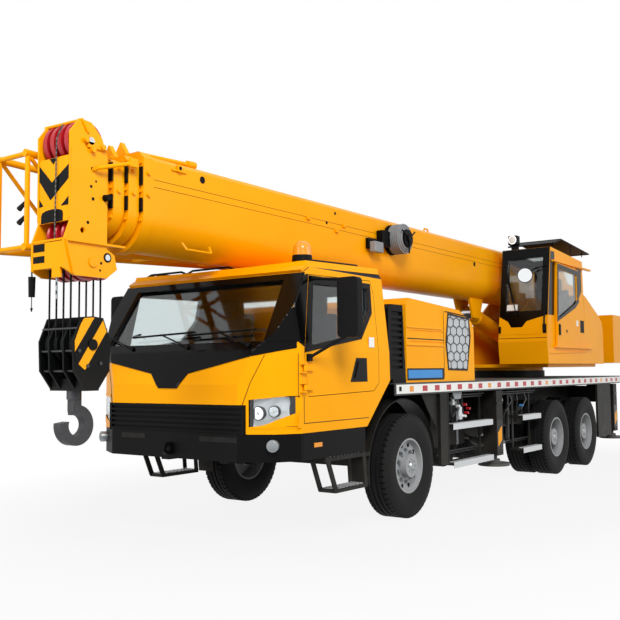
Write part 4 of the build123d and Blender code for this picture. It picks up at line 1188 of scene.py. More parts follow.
# %% Wiper, handle and label on the front
mesh = bmesh.new()
add_rod(mesh, on_operator(0.70, 2.37, 0.006), on_operator(0.70, 2.37, 0.045), 0.018, 12)
add_pipe(mesh, [on_operator(0.70, 2.37, 0.035), on_operator(0.55, 2.95, 0.030)], 0.008, 8)
add_rod(mesh, on_operator(0.63, 2.55, 0.018), on_operator(0.50, 3.12, 0.018), 0.010, 8)
add_pipe(mesh, [on_operator(1.145, z, proud) for z, proud in
                ((2.40, 0.004), (2.38, 0.045), (2.12, 0.045), (2.10, 0.004))], 0.012, 10)
add_block(mesh, on_operator(1.115, 2.07, 0.0), on_operator(1.172, 2.21, 0.035), 0.008)
add_block(mesh, on_operator(0.425, 2.06, 0.0), on_operator(0.460, 2.19, 0.025), 0.006)
hang(mesh, "operator_front_fittings", "plastic", "superstructure")
mesh = bmesh.new()
label = ((0.54, 2.43), (0.71, 2.43), (0.71, 2.52), (0.54, 2.52))
add_plate(mesh, [on_operator(y, z, 0.008) for y, z in label], (0.002, 0, 0))
hang(mesh, "operator_front_label", "white", "superstructure")
print("front fitted")

# %% [markdown]
# A round mirror on a bent arm lets the operator see past the boom. Its shell is a flat drum
# that is turned to the mirror's own aim, and the glass is a thinner drum on its face.

# %% Operator's round mirror
mirror_spot, mirror_aim = at(-4.30, 0.845, 2.955), Vector((1.0, 0.30, 0.02)).normalized()
mesh = bmesh.new()
add_rod(mesh, mirror_spot - mirror_aim * 0.03, mirror_spot, 0.112, 32)
add_pipe(mesh, [mirror_spot - mirror_aim * 0.02, on_operator(0.96, 3.05, 0.05),
                on_operator(1.15, 3.10, 0.01)], 0.009, 8)
hang(mesh, "operator_mirror_shell", "plastic", "superstructure", smooth=True)
mesh = bmesh.new()
add_rod(mesh, mirror_spot, mirror_spot + mirror_aim * 0.002, 0.104, 32)
hang(mesh, "operator_mirror_glass", "mirror", "superstructure")
print("mirror aim", [round(c, 2) for c in mirror_aim])

# %% [markdown]
# The work lamp on the roof is a box on a foot with a bright round rim and a pale lens. Rim and
# lens are short cones, one before the other, so the light catches a step between them.

# %% Work lamp
lamp_face, rim_depth, lens_depth = at(-4.437, 0.605, 3.531), 0.006, 0.012
body_mesh, rim, lens = bmesh.new(), bmesh.new(), bmesh.new()
add_block(body_mesh, at(-4.440, 0.530, 3.455), at(-4.560, 0.680, 3.600), 0.012)
add_block(body_mesh, at(-4.500, 0.557, 3.370), at(-4.580, 0.653, 3.470), 0.004)
hang(body_mesh, "work_lamp_body", "plastic", "superstructure")
rim_front, lens_front = (lamp_face + Vector((depth, 0, 0)) for depth in (rim_depth, lens_depth))
add_rod(rim, lamp_face, rim_front, 0.066, 32)
hang(rim, "work_lamp_rim", "chrome", "superstructure", smooth=True)
add_rod(lens, rim_front, lens_front, 0.054, 32, 0.044)
hang(lens, "work_lamp_lens", "white", "superstructure", smooth=True)
print("work lamp at z =", round(lamp_face.z, 3))

# %% [markdown]
# A guard of sheet and bars over the roof stops falling objects. It is laid out from one list
# of points, from which come the sheets, the side bars, the cross bars and the posts.

# %% Roof guard
guard_left, guard_right = 0.47, 1.185
canopy = ((-4.60, 3.445), (-4.95, 3.545), (-6.30, 3.455))
mesh = bmesh.new()
for (s0, z0), (s1, z1) in zip(canopy[:-1], canopy[1:]):
    add_plate(mesh, [at(s0, guard_left, z0), at(s0, guard_right, z0), at(s1, guard_right, z1),
                     at(s1, guard_left, z1)], (0, 0, 0.006))
for y in (guard_left, guard_right):
    add_pipe(mesh, [at(s, y, z + 0.003) for s, z in canopy], 0.011, 10)
for s, z in canopy:
    add_stud(mesh, s, z + 0.003, (guard_left, guard_right), 0.011, 10)
for s, top in ((-4.70, 3.485), (-5.50, 3.51), (-6.04, 3.476)):
    for y in (0.52, 1.15):
        add_rod(mesh, at(s, y, 3.385), at(s, y, top), 0.008, 8)
hang(mesh, "roof_guard", "plastic", "superstructure")
print("guard length", round(canopy[0][0] - canopy[-1][0], 2))

# %% [markdown]
# The operator's door slides back along the cab's side. A black border frames its window, a
# yellow sheet closes the leaf under the slanted sill, and both ride on the leaf.

# %% Operator's door
leaf_face = 1.2245
window_edge = [(-4.620, 2.300), (-4.690, 3.060), (-5.520, 3.030), (-5.520, 2.640), (-5.380, 2.560)]
outer_edge = [(-4.575, 2.250), (-4.645, 3.140), (-5.590, 3.100), (-5.590, 2.600), (-5.410, 2.500)]
mesh = bmesh.new()
add_band(mesh, on_side(leaf_face, window_edge), on_side(leaf_face, outer_edge), (0, 0.004, 0))
add_block(mesh, at(-4.625, leaf_face, 2.05), at(-4.675, 1.2480, 2.215), 0.008)
add_stud(mesh, -4.98, 2.12, (leaf_face, 1.2330), 0.022, 16)
hang(mesh, "operator_door_trim", "gloss_black", "operator_door")
mesh = bmesh.new()
add_plate(mesh, on_side(1.2250, ((-4.600, 2.170), (-4.605, 2.290), (-5.400, 2.555), (-5.540, 2.650),
                                 (-5.540, 2.400), (-4.97, 2.160))), (0, 0.0015, 0))
hang(mesh, "operator_door_sill", "yellow", "operator_door")
mesh = bmesh.new()
add_block(mesh, at(-5.44, leaf_face, 2.215), at(-5.53, 1.2260, 2.305))
hang(mesh, "operator_door_plaque", "white", "operator_door")
print("window corners", len(window_edge))

# %% [markdown]
# Behind the leaf the side has a dark window band, vents, a pressed rib and panel joints. The
# leaf slides past five millimetres away, so everything in its path stays almost flush.

# %% Cab side behind the door
mesh = bmesh.new()
add_plate(mesh, on_side(operator_side, ((-5.600, 2.62), (-5.600, 3.150), (-5.860, 3.150),
                                        (-5.860, 2.80), (-5.700, 2.66))), (0, 0.0006, 0))
hang(mesh, "operator_rear_light", "gloss_black", "superstructure")
mesh = bmesh.new()
add_block(mesh, at(-5.745, 1.1800, 2.12), at(-5.935, 1.1852, 2.32))
add_block(mesh, at(-6.70, 1.10, 1.625), at(-6.90, 1.176, 1.745), 0.004)
hang(mesh, "operator_side_vents", "plastic", "superstructure")
mesh = bmesh.new()
ledge = on_side(1.187, ((-4.30, 1.775), (-5.70, 1.805), (-5.95, 1.81)))
for start, end in zip(ledge[:-1], ledge[1:]):
    add_rod(mesh, start, end, 0.012, 10)
hang(mesh, "operator_side_rib", "yellow", "superstructure", smooth=True)
mesh = bmesh.new()
joint_height = 2.005
for front, rear in ((-5.62, -5.96), (-4.245, -4.54)):
    add_rod(mesh, at(front, 1.1820, joint_height), at(rear, 1.1820, joint_height), 0.0034, 6)
add_rod(mesh, on_operator(0.43, joint_height, 0.001), on_operator(1.18, joint_height, 0.001), 0.004, 6)
add_rod(mesh, at(-6.23, 1.15, 2.42), at(-6.36, 1.15, 2.46), 0.016, 12)
add_rod(mesh, at(-6.30, 1.12, 2.47), at(-6.30, 1.12, 2.66), 0.014, 12)
add_rod(mesh, at(-6.24, 1.12, 2.52), at(-6.40, 1.16, 2.49), 0.010, 10)
hang(mesh, "operator_side_joints", "black", "superstructure")
print("side joints at z =", joint_height)

# %% [markdown]
# The operator's seat is covered in dark cloth. The cover is a set of blocks a few millimetres
# larger than the plain seat of the frame, so that node keeps its own shape.

# %% Operator's seat
mesh = bmesh.new()
add_block(mesh, at(-4.926, 0.556, 2.056), at(-5.454, 1.054, 2.184), 0.01)
add_block(mesh, at(-4.986, 0.596, 1.70), at(-5.424, 1.014, 2.080))
add_plate(mesh, on_side(0.566, ((-5.394, 2.15), (-5.526, 2.15), (-5.646, 2.806), (-5.534, 2.806))),
          (0, 0.478, 0))
add_block(mesh, at(-5.565, 0.68, 2.80), at(-5.665, 0.93, 3.00), 0.02)
hang(mesh, "operator_seat_cloth", "cloth", "superstructure")
print("seat covered")

# %% [markdown]
# Dark panels stand behind the glass of both cabs, so no body colour shows through it. Flat
# blocks are enough, because only their dark faces are seen.

# %% Lining panels
mesh = bmesh.new()
add_block(mesh, at(-5.925, 0.450, 1.70), at(-5.920, 1.150, 2.29))
add_block(mesh, at(-4.60, 0.445, 1.70), at(-5.90, 0.448, 2.29))
add_block(mesh, at(-4.310, 0.46, 1.68), at(-4.315, 1.13, 2.20))
add_block(mesh, at(-4.34, 0.98, 1.70), at(-4.50, 1.10, 2.42), 0.02)
add_block(mesh, at(-4.34, 0.52, 1.70), at(-4.46, 0.72, 2.34), 0.02)
hang(mesh, "operator_lining", "cloth", "superstructure")
mesh = bmesh.new()
add_block(mesh, at(0.452, -1.08, 1.46), at(0.456, 1.08, 1.84))
for y in (0.55, -0.55):
    add_block(mesh, at(0.86, y - 0.12, 2.12), at(0.95, y + 0.12, 2.30), 0.03)
hang(mesh, "cab_lining", "cloth", "carrier")
print("both cabs lined")

# %% [markdown]
# ## Boom head
# Black warning chevrons are painted on the head's front plate, and a few dark openings show in
# it, drawn as sheets of painted shade. Paint has hardly any thickness, so each mark is a plate of a
# millimetre and a half.

# %% Chevrons and openings
head_plate, housing_plate = 3.6005, 3.6555


def paint_on_head(mesh, station, outline):
    """A thin painted sheet on an upright front plate; outline holds (y, z) points."""
    add_plate(mesh, [at(station, y, z) for y, z in outline], (0.0015, 0, 0))


mesh = bmesh.new()
for outline in (
        [(-0.198, 3.250), (-0.030, 3.090), (0.190, 3.220), (0.190, 3.105), (-0.045, 2.945),
         (-0.198, 3.125)],
        [(-0.065, 3.288), (-0.012, 3.235), (0.030, 3.288)],
        [(-0.198, 2.975), (-0.135, 2.905), (-0.198, 2.900)],
        [(0.085, 2.885), (0.190, 2.960), (0.190, 2.885)]):
    paint_on_head(mesh, head_plate, outline)
hang(mesh, "head_chevrons", "gloss_black", "boom_section_4")
mesh = bmesh.new()
# the openings are dark sheets of painted shade over the head's window and slot
bow = [(-0.025 - 0.140 * math.cos(a), 2.835 + 0.035 * math.sin(a))
       for a in (0.4, 0.9, 1.57, 2.24, 2.74)]
paint_on_head(mesh, head_plate, [(-0.165, 2.762), (-0.165, 2.825), *bow, (0.115, 2.825),
                                 (0.115, 2.762)])
for low, high in ((2.430, 2.485), (2.520, 2.585)):
    paint_on_head(mesh, housing_plate, [(-0.185, low), (-0.185, high), (-0.040, high), (-0.040, low)])
hang(mesh, "head_opening_shade", "plastic", "boom_section_4")
print("head painted")

# %% [markdown]
# Small red sheaves guide the rope into the head. Each is turned from nylon with a groove for the
# rope, so its profile is spun whole by the helper that made the tyres.

# %% Guide sheaves
guide_sheaves = ((3.465, -0.09, 2.665, 0.122), (3.465, 0.0, 2.665, 0.122), (3.465, 0.09, 2.665, 0.122),
                 (3.215, 0.09, 2.452, 0.140), (3.215, -0.09, 2.452, 0.140))
half, web_depth, flange, groove_depth = 0.017, 0.055, 0.005, 0.016
for index, (s, y, z, radius) in enumerate(guide_sheaves):
    groove = [(-half, radius - web_depth), (-half, radius), (-half + flange, radius),
              (0.0, radius - groove_depth), (half - flange, radius), (half, radius),
              (half, radius - web_depth)]
    mesh = bmesh.new()
    add_ring(mesh, at(s, y, z), groove, 40)
    add_stud(mesh, s, z, (y - 0.012, y + 0.012), radius - 0.05, 28)
    hang(mesh, f"guide_sheave_{index}", "red", "boom_section_4", smooth=True)
print("guide sheaves", len(guide_sheaves))

# %% [markdown]
# Yellow fittings are welded to the head: a bent bar that keeps the rope on the top sheaves, a
# bar along the collars, lugs, folded plate edges, and a bracket for the hook's snap chain.

# %% Head fittings
mesh = bmesh.new()
add_pipe(mesh, [at(3.545, -0.205, 3.46), at(3.520, -0.225, 3.592), at(3.500, 0.215, 3.592),
                at(3.440, 0.222, 3.50)], 0.013, 8)
add_pipe(mesh, [at(3.380, 0.212, 3.200), at(3.360, 0.262, 3.215), at(3.060, 0.345, 3.300)], 0.017, 12)
add_block(mesh, at(3.020, 0.330, 3.262), at(3.110, 0.358, 3.338), 0.006)
for s, z in ((3.47, 3.43), (3.40, 3.36), (3.30, 3.40)):
    add_stud(mesh, s, z, (0.212, 0.250), 0.022, 16)
add_block(mesh, at(3.26, 0.213, 3.375), at(3.45, 0.232, 3.425), 0.004)
# folded edges of the head plate and the lower housing's flange
for y in (0.201, -0.201):
    add_block(mesh, at(3.600, y + 0.011, 2.78), at(3.6075, y - 0.011, 3.34), 0.002)
add_block(mesh, at(3.05, 0.200, 2.585), at(3.655, 0.236, 2.605), 0.004)
add_block(mesh, at(3.655, -0.212, 2.596), at(3.6595, 0.236, 2.612))
add_plate(mesh, [at(3.655, 0.214, 2.59), at(3.655, 0.232, 2.59), at(3.585, 0.232, 2.335),
                 at(3.585, 0.214, 2.335)], (-0.012, 0, 0))
# the snap chain's bracket, under the housing
add_block(mesh, at(3.630, 0.050, 2.300), at(3.655, 0.150, 2.385), 0.004)
hang(mesh, "head_fittings", "yellow", "boom_section_4")
print("head fittings welded")

# %% [markdown]
# Dark bolts, switches and a limit switch with its wire sit on the head's side. Bright pins and
# a snap chain of turned links hang beside them, and the hoist rope crosses the front plate.

# %% Switches, pins and rope
mesh = bmesh.new()
for s, z, radius in ((3.390, 3.210, 0.013), (3.400, 3.060, 0.013), (3.380, 2.960, 0.015),
                     (3.430, 2.760, 0.014), (3.350, 3.110, 0.010), (3.290, 2.440, 0.012),
                     (3.300, 2.380, 0.010)):
    add_stud(mesh, s, z, (0.2115, 0.2135), radius, 16)
add_stud(mesh, 3.225, 2.492, (0.2115, 0.2160), 0.040, 24)
add_stud(mesh, 3.255, 2.985, (0.212, 0.262), 0.030, 20, 0.024)
# switch with its wire, at the housing's far end
add_rod(mesh, at(3.630, -0.235, 2.330), at(3.630, -0.235, 2.165), 0.030, 16, 0.026)
add_rod(mesh, at(3.630, -0.235, 2.165), at(3.630, -0.235, 2.050), 0.0035, 6)
add_rod(mesh, at(3.630, -0.235, 2.075), at(3.630, -0.235, 2.045), 0.012, 10, 0.004)
add_pipe(mesh, [at(3.655, -0.21, 2.56), at(3.640, -0.235, 2.48), at(3.630, -0.235, 2.33)], 0.006, 8)
hang(mesh, "head_switches", "plastic", "boom_section_4", smooth=True)
mesh = bmesh.new()
add_stud(mesh, 3.225, 2.492, (0.2160, 0.2185), 0.026, 20)
add_stud(mesh, 3.415, 3.430, (0.2125, 0.2320), 0.038, 24, 0.032)
# snap chain: a row of turned links
for link in range(5):
    z = 2.285 - 0.034 * link
    wide = 0.012 if link % 2 else 0.004
    corners = ((-wide, 0.016), (wide, 0.016), (wide, -0.016), (-wide, -0.016), (-wide, 0.016))
    add_pipe(mesh, [at(3.642, 0.100 + across, z + rise) for across, rise in corners], 0.0035, 6)
hang(mesh, "head_pins", "steel", "boom_section_4")
mesh = bmesh.new()
add_pipe(mesh, [at(3.560, 0.045, 3.570), at(3.6135, 0.040, 3.440), at(3.6135, 0.030, 2.620)], 0.0055, 8)
hang(mesh, "head_rope", "rope", "boom_section_4")
print("switches and rope done")

# %% [markdown]
# Each boom section slides in the collar of the one before it on dark plastic pads. The pads and
# their yellow screws ride on the collar's own body, so they stay with it when the boom runs out.

# %% Sliding pads
collars = (("boom_base", 2.9315, 0.268, 0.318), ("boom_section_2", 3.0615, 0.229, 0.276),
           ("boom_section_3", 3.1915, 0.192, 0.238))
axis_z = 3.010
for body, station, y_in, y_out in collars:
    pads, pins = bmesh.new(), bmesh.new()
    for side in (1, -1):
        for low, high in ((0.13, 0.29), (-0.10, 0.02)):
            add_block(pads, at(station, side * y_in, axis_z + low),
                      at(station + 0.016, side * y_out, axis_z + high), 0.003)
        middle_y = side * (y_in + y_out) / 2
        for z in (0.08, 0.33, -0.17):
            add_rod(pins, at(station, middle_y, axis_z + z),
                    at(station + 0.014, middle_y, axis_z + z), 0.014, 12)
        for z in (0.24, 0.05):
            add_stud(pins, station - 0.05, axis_z + z, (side * (y_out + 0.003), side * (y_out + 0.026)),
                     0.016, 12)
    hang(pads, f"{body}_pads", "plastic", body)
    hang(pins, f"{body}_pins", "yellow", body, smooth=True)
print("collars", len(collars))

# %% [markdown]
# ## Boom side
# A hose reel turns on the boom's side as the sections run out. A wound hose looks like a stack
# of rings, so one small circle is spun for each turn, in three layers.

# %% Hose reel
reel = at(-1.25, 0.0, 3.17)
hose_radius, hose_corners, hose_pitch, layer_rise = 0.0135, 8, 0.026, 0.025
turns_in_layer = (8, 7, 6)
mesh = bmesh.new()
for layer, turns in enumerate(turns_in_layer):
    ring_radius = 0.125 + layer_rise * layer
    angles = [math.tau * k / hose_corners for k in range(hose_corners)]
    circle = [(hose_radius * math.cos(a), ring_radius + hose_radius * math.sin(a)) for a in angles]
    for turn in range(turns):
        out = 0.345 + hose_pitch * turn + 0.012 * layer
        add_ring(mesh, reel + Vector((0, out, 0)), circle, 40)
hang(mesh, "reel_hose", "reel_hose", "boom_base", smooth=True)
mesh = bmesh.new()
# flange, drum and hub cap, then the three spokes
for start, end, radius, corners in ((0.302, 0.318, 0.19, 40), (0.318, 0.56, 0.108, 28),
                                    (0.56, 0.585, 0.045, 20)):
    add_rod(mesh, reel + Vector((0, start, 0)), reel + Vector((0, end, 0)), radius, corners)
for spoke in range(3):
    turn = math.tau / 3 * spoke + 0.5
    add_rod(mesh, reel + Vector((0, 0.572, 0)),
            reel + Vector((0.185 * math.cos(turn), 0.560, 0.185 * math.sin(turn))), 0.010, 8)
add_block(mesh, at(-1.08, 0.302, 3.05), at(-0.90, 0.40, 3.25), 0.010)
add_block(mesh, at(-0.650, 0.302, 3.000), at(-0.900, 0.350, 3.130), 0.008)
hang(mesh, "reel_frame", "plastic", "boom_base")
print("turns of hose", sum(turns_in_layer))

# %% [markdown]
# A boxy lamp hangs behind the reel. The base section also carries a slim jib cylinder on top, a
# handrail under its side, small hooks, and doubler strips along the welded seams.

# %% Boom lamp and fittings
mesh = bmesh.new()
add_block(mesh, at(-0.665, 0.350, 2.955), at(-0.865, 0.430, 3.085), 0.012)
hang(mesh, "boom_lamp", "pale_grey", "boom_base")
web_face, seam_front, seam_rear = 0.2995, 2.80, -6.8
mesh = bmesh.new()
# the jib cylinder's rod and barrel, then the handrail
add_rod(mesh, at(2.86, 0.16, 3.452), at(2.22, 0.16, 3.478), 0.020, 16)
add_rod(mesh, at(2.24, 0.16, 3.478), at(2.14, 0.16, 3.482), 0.036, 16)
add_pipe(mesh, [at(2.44, 0.296, 2.70), at(2.42, 0.335, 2.64), at(2.10, 0.335, 2.64),
                at(2.08, 0.296, 2.70)], 0.010, 8)
add_block(mesh, at(2.58, 0.299, 3.335), at(2.40, 0.316, 3.352), 0.002)
add_block(mesh, at(2.52, 0.299, 3.33), at(2.47, 0.330, 3.40), 0.006)
for s, z in ((-0.15, 3.21), (0.0, 3.13), (0.55, 3.20)):
    add_block(mesh, at(s, 0.299, z - 0.018), at(s - 0.05, 0.325, z + 0.018), 0.004)
add_pipe(mesh, on_side(0.20, ((-2.30, 3.415), (-2.34, 3.475), (-2.42, 3.475), (-2.46, 3.415))),
         0.012, 8)
for z in (3.215, 3.150):
    add_block(mesh, at(seam_front, web_face, z), at(seam_rear, 0.3015, z + 0.006))
hang(mesh, "boom_fittings", "yellow", "boom_base")
print("seam length", seam_front - seam_rear)

# %% [markdown]
# Dark discs of painted shade stand for holes in the web, and a line of painted shadow under each strip
# deepens the strip's shadow.
# Two short rubber-tipped pins belong to the jib that is stowed on the far side.

# %% Holes, seam shadows and jib pins
mesh = bmesh.new()
# dark discs of painted shade where the web has holes
for s, z, radius in ((2.180, 3.320, 0.034), (0.160, 3.200, 0.018), (-0.010, 3.330, 0.018),
                     (-3.700, 3.110, 0.034), (2.495, 3.365, 0.018)):
    # the foremost one is a long eye, and the rest are flat discs
    length = 0.0325 if s > 2.4 else 0.0035
    add_stud(mesh, s, z, (web_face, web_face + length), radius, 20)
# thin dark lines of painted shadow under the doubler strips
for z in (3.211, 3.146):
    add_block(mesh, at(seam_front, web_face, z), at(seam_rear, 0.3012, z + 0.003))
hang(mesh, "boom_hole_and_seam_shade", "plastic", "boom_base")
mesh = bmesh.new()
for z in (2.985, 2.865):
    add_rod(mesh, at(3.565, -0.43, z), at(3.565, -0.515, z - 0.050), 0.014, 10, 0.024)
hang(mesh, "jib_pins", "rubber", "boom_base")
print("jib pins fitted")

# %% [markdown]
# ## Hook block
# Warning bands are cut from the cheek's own outline: a copy of the outline is bisected by two
# slanted planes, so every band ends exactly at the plate's edge.

# %% Hook block bands
cheek = [(3.385, 1.990), (3.280, 1.980), (3.203, 1.798), (3.209, 1.640), (3.300, 1.570),
         (3.460, 1.570), (3.551, 1.640), (3.557, 1.798), (3.480, 1.980)]
slant = Vector((0.824, 0.0, 0.565)).normalized()
band_middles, band_half = (3.940, 3.775), 0.040


def add_slanted_band(mesh, side, middle_line):
    """One warning band: the cheek's outline, cut by two slanted planes."""
    band = bmesh.new()
    add_plate(band, on_side(side * 0.2240, cheek), outwards(side, 0.002))
    for sign in (1, -1):
        level = middle_line + band_half * sign
        bmesh.ops.bisect_plane(band, geom=band.verts[:] + band.edges[:] + band.faces[:],
                               plane_co=at(level * slant.x, 0.0, level * slant.z),
                               plane_no=slant * sign, clear_outer=True)
    bmesh.ops.holes_fill(band, edges=band.edges[:])
    spare = bpy.data.meshes.new("band")
    band.to_mesh(spare)
    band.free()
    mesh.from_mesh(spare)
    bpy.data.meshes.remove(spare)


for side, name in sides:
    mesh = bmesh.new()
    add_plate(mesh, on_side(side * 0.2212, cheek), outwards(side, 0.003))
    hang(mesh, f"cheek_plate_{name}", "black", "hook_block")
    mesh = bmesh.new()
    for middle_line in band_middles:
        add_slanted_band(mesh, side, middle_line)
    hang(mesh, f"cheek_bands_{name}", "yellow", "hook_block")
    mesh = bmesh.new()
    for s, z in ((3.515, 1.72), (3.43, 1.60), (3.30, 1.62)):
        add_stud(mesh, s, z, (side * 0.2235, side * 0.2350), 0.016, 6)
    hang(mesh, f"cheek_bolts_{name}", "forged", "hook_block")
# spacer bars between the cheeks
mesh = bmesh.new()
for s, z in ((3.545, 1.72), (3.53, 1.90), (3.215, 1.72), (3.23, 1.90), (3.52, 1.56), (3.24, 1.56)):
    add_stud(mesh, s, z, (-0.215, 0.215), 0.009, 10)
hang(mesh, "block_spacers", "forged", "hook_block")
print("bands on each cheek", len(band_middles))

# %% [markdown]
# ## Under the deck
# Steps are pressed from bright tread plate: a flat tread, a lip at its edge, and raised bars
# across it. A loop lays the bars at an even pitch, whatever the step's length.

# %% Step treads
mesh = bmesh.new()
bars = 0
for side in (1, -1):
    for front, rear in ((-1.050, -2.140), (-3.150, -3.800)):
        for z in (0.900, 0.460):
            add_block(mesh, at(front, side * 1.140, z + 0.0155), at(rear, side * 1.2155, z + 0.0185))
            add_block(mesh, at(front + 0.010, side * 1.2155, z - 0.050),
                      at(rear - 0.010, side * 1.2190, z + 0.0185), 0.001)
            for k in range(int((front - rear) / 0.05)):
                s = front - 0.03 - 0.05 * k
                add_block(mesh, at(s, side * 1.142, z + 0.0185),
                          at(s - 0.014, side * 1.212, z + 0.0225))
                bars += 1
    # the cab's own steps have bars only
    for front, rear, z in ((1.540, 0.880, 0.738), (1.380, 0.830, 0.440)):
        for k in range(int((front - rear) / 0.06)):
            s = front - 0.03 - 0.06 * k
            add_block(mesh, at(s, side * 1.040, z + 0.0155), at(s - 0.012, side * 1.205, z + 0.0205))
            bars += 1
hang(mesh, "step_lips", "aluminium", "carrier")
print("tread bars", bars)

# %% [markdown]
# A slanted yellow patch on a dark ground warns people beside each outrigger column. Both are
# thin plates, and they ride on the beam that runs out.

# %% Outrigger column patches
for station, name in ((-2.355, "front"), (-7.405, "rear")):
    for side, hand in sides:
        body = f"outrigger_{name}_{hand}"
        mesh = bmesh.new()
        patch = ((0.060, 0.560), (-0.060, 0.640), (-0.060, 0.820), (0.060, 0.740))
        add_plate(mesh, [at(station + d, side * deck_face, z) for d, z in patch], outwards(side, 0.001))
        hang(mesh, f"patch_{name}_{hand}", "yellow", body)
        mesh = bmesh.new()
        add_block(mesh, at(station + 0.094, side * 1.2203, 0.52),
                  at(station - 0.094, side * 1.2208, 0.90))
        add_block(mesh, at(station + 0.085, side * 1.2203, 1.10),
                  at(station - 0.085, side * 1.2290, 1.12), 0.002)
        hang(mesh, f"patch_ground_{name}_{hand}", "gloss_black", body)
print("columns marked")

# %% [markdown]
# The front wheel's arch is a bent sheet that ends in a flat flap. The bend is an arc of narrow
# faces round the wheel's centre, and the sheet gets its thickness by one extrusion.

# %% Rear of the wheel arch
wheel_height, arch_radius = 0.542, 0.697
mesh = bmesh.new()
for side in (1, -1):
    arc = [math.radians(a) for a in range(8, 84, 5)]
    grid = [[mesh.verts.new(at(-arch_radius * math.sin(a), side * y,
                               wheel_height + arch_radius * math.cos(a))) for y in (0.93, 1.149)]
            for a in arc]
    faces = [mesh.faces.new((a[0], a[1], b[1], b[0])) for a, b in zip(grid[:-1], grid[1:])]
    push_out(mesh, faces, (-0.004, 0, 0))
    add_plate(mesh, on_side(side * 1.181, ((-0.34, 1.275), (-0.72, 1.275), (-0.72, 0.86), (-0.60, 0.98),
                                           (-0.48, 1.10))), outwards(side, 0.006))
    for front, rear in ((-0.722, -0.740), (-0.915, -0.932)):
        add_block(mesh, at(front, side * 1.205, 0.472), at(rear, side * 1.2185, 1.278), 0.003)
hang(mesh, "arch_rear", "black", "carrier")
print("arch faces", len(arc) - 1)

# %% [markdown]
# Air for the brakes is kept in a round receiver along the frame, with a domed end. Bright straps
# hold it and the fuel tank. Cylinder, cone and thin blocks are all it takes.

# %% Air receiver and straps
mesh = bmesh.new()
add_rod(mesh, *on_side(0.76, ((-2.560, 0.86), (-2.960, 0.86))), 0.205, 36)
add_rod(mesh, *on_side(0.76, ((-2.540, 0.86), (-2.560, 0.86))), 0.150, 36, 0.205)
hang(mesh, "air_receiver", "grey", "carrier", smooth=True)
mesh = bmesh.new()
for s in (-2.62, -2.76, -2.90):
    add_rod(mesh, *on_side(0.76, ((s, 0.86), (s - 0.030, 0.86))), 0.209, 36)
for s in (-1.30, -1.75):
    add_block(mesh, at(s, 0.902, 0.62), at(s - 0.05, 0.906, 1.24))
hang(mesh, "tank_straps", "steel", "carrier")
print("straps fitted")

# %% [markdown]
# Rigid pipes run along the frame, and short hoses hang down from them. Each hose leans a little
# its own way, from a list of offsets, so that the row doesn't look drawn by a ruler.

# %% Pipes and hoses under the deck
runs = ((1.12, 1.245), (1.09, 1.215), (1.06, 1.245), (1.00, 0.55), (1.03, 0.58))
hoses = ((-1.28, 0.05), (-1.42, -0.04), (-1.60, 0.07), (-2.52, 0.02), (-3.02, -0.05), (-3.30, 0.04),
         (-3.55, -0.03))
mesh = bmesh.new()
for y, z in runs:
    add_pipe(mesh, [at(-1.02, y, z), at(-2.10, y, z)], 0.010, 8)
    add_pipe(mesh, [at(-2.60, y, z), at(-3.85, y, z)], 0.010, 8)
for s, lean in hoses:
    add_pipe(mesh, [at(s, 1.05, 1.27), at(s + lean, 1.09, 1.12), at(s - lean, 1.04, 0.98),
                    at(s, 0.95, 0.84)], 0.012, 8)
for s in (-2.55, -3.05):
    add_block(mesh, at(s, 1.00, 0.60), at(s - 0.04, 1.04, 1.27), 0.004)
hang(mesh, "under_hoses", "hose", "carrier", smooth=True)
print("pipes", len(runs), "hoses", len(hoses))

# %% [markdown]
# Small valves with red, white and blue caps sit among the hoses, and a pale gusset stiffens the
# deck behind the hood. One loop over the cap colours makes a piece for each colour.

# %% Valves and gusset
mesh = bmesh.new()
for s, y, z in ((-1.26, 1.10, 1.17), (-1.50, 1.08, 1.02), (-1.44, 1.10, 0.99), (-2.75, 1.06, 1.16)):
    add_rod(mesh, at(s, y, z), at(s, y, z + 0.075), 0.026, 16)
    add_block(mesh, at(s - 0.035, y - 0.025, z - 0.045), at(s + 0.035, y + 0.025, z), 0.006)
hang(mesh, "valve_bodies", "aluminium", "carrier")
for key, spots in (("red", ((-1.56, 1.11, 1.12), (-1.66, 1.11, 1.07), (-1.61, 1.11, 1.02))),
                   ("white", ((-1.36, 1.12, 1.11), (-1.52, 1.12, 0.985))),
                   ("blue", ((-3.42, 1.08, 1.04),))):
    mesh = bmesh.new()
    for s, y, z in spots:
        add_stud(mesh, s, z, (y - 0.02, y + 0.03), 0.016, 12)
    hang(mesh, f"valve_caps_{key}", key, "carrier", smooth=True)
mesh = bmesh.new()
add_plate(mesh, on_side(1.188, ((-1.08, 1.29), (-1.34, 1.29), (-1.30, 1.20), (-1.14, 1.20))),
          (0, 0.004, 0))
add_stud(mesh, -1.20, 1.215, (1.12, 1.19), 0.020, 16)
hang(mesh, "deck_gusset", "pale_grey", "carrier")
print("valves fitted")

# %% [markdown]
# ## Linings
# Inner faces of both cabs are lined with dark felt. A face counts as inner when its middle lies
# more than a centimetre inside the cab's outer skin, so no list of face numbers is needed.

# %% Line the inner faces
origin, skin_depth = at(0, 0, 0), 0.012
cab_back, cab_floor, operator_back, operator_floor = 0.43, 1.02, -5.96, 1.64


def in_driver_cab(s, y, z):
    """True inside the carrier cab's skin."""
    roof = 2.49 + 0.04 * (1.66 - s) / 1.25
    ahead = on_nose(y, z).x - origin.x
    return (abs(y) < side_skin(z) - 0.01 and cab_back < s < ahead - skin_depth
            and cab_floor < z < roof - skin_depth)


def in_operator_cab(s, y, z):
    """True inside the operator's cab's skin."""
    roof = 3.38 + 0.09 * (s + 4.48) / 1.45
    return (0.432 < y < 1.172 and operator_back < s < operator_front(z) - skin_depth
            and operator_floor < z < roof - skin_depth)


def behind_leaf(s, y, z):
    """True on the inner side of the sliding door's leaf."""
    return y < 1.200


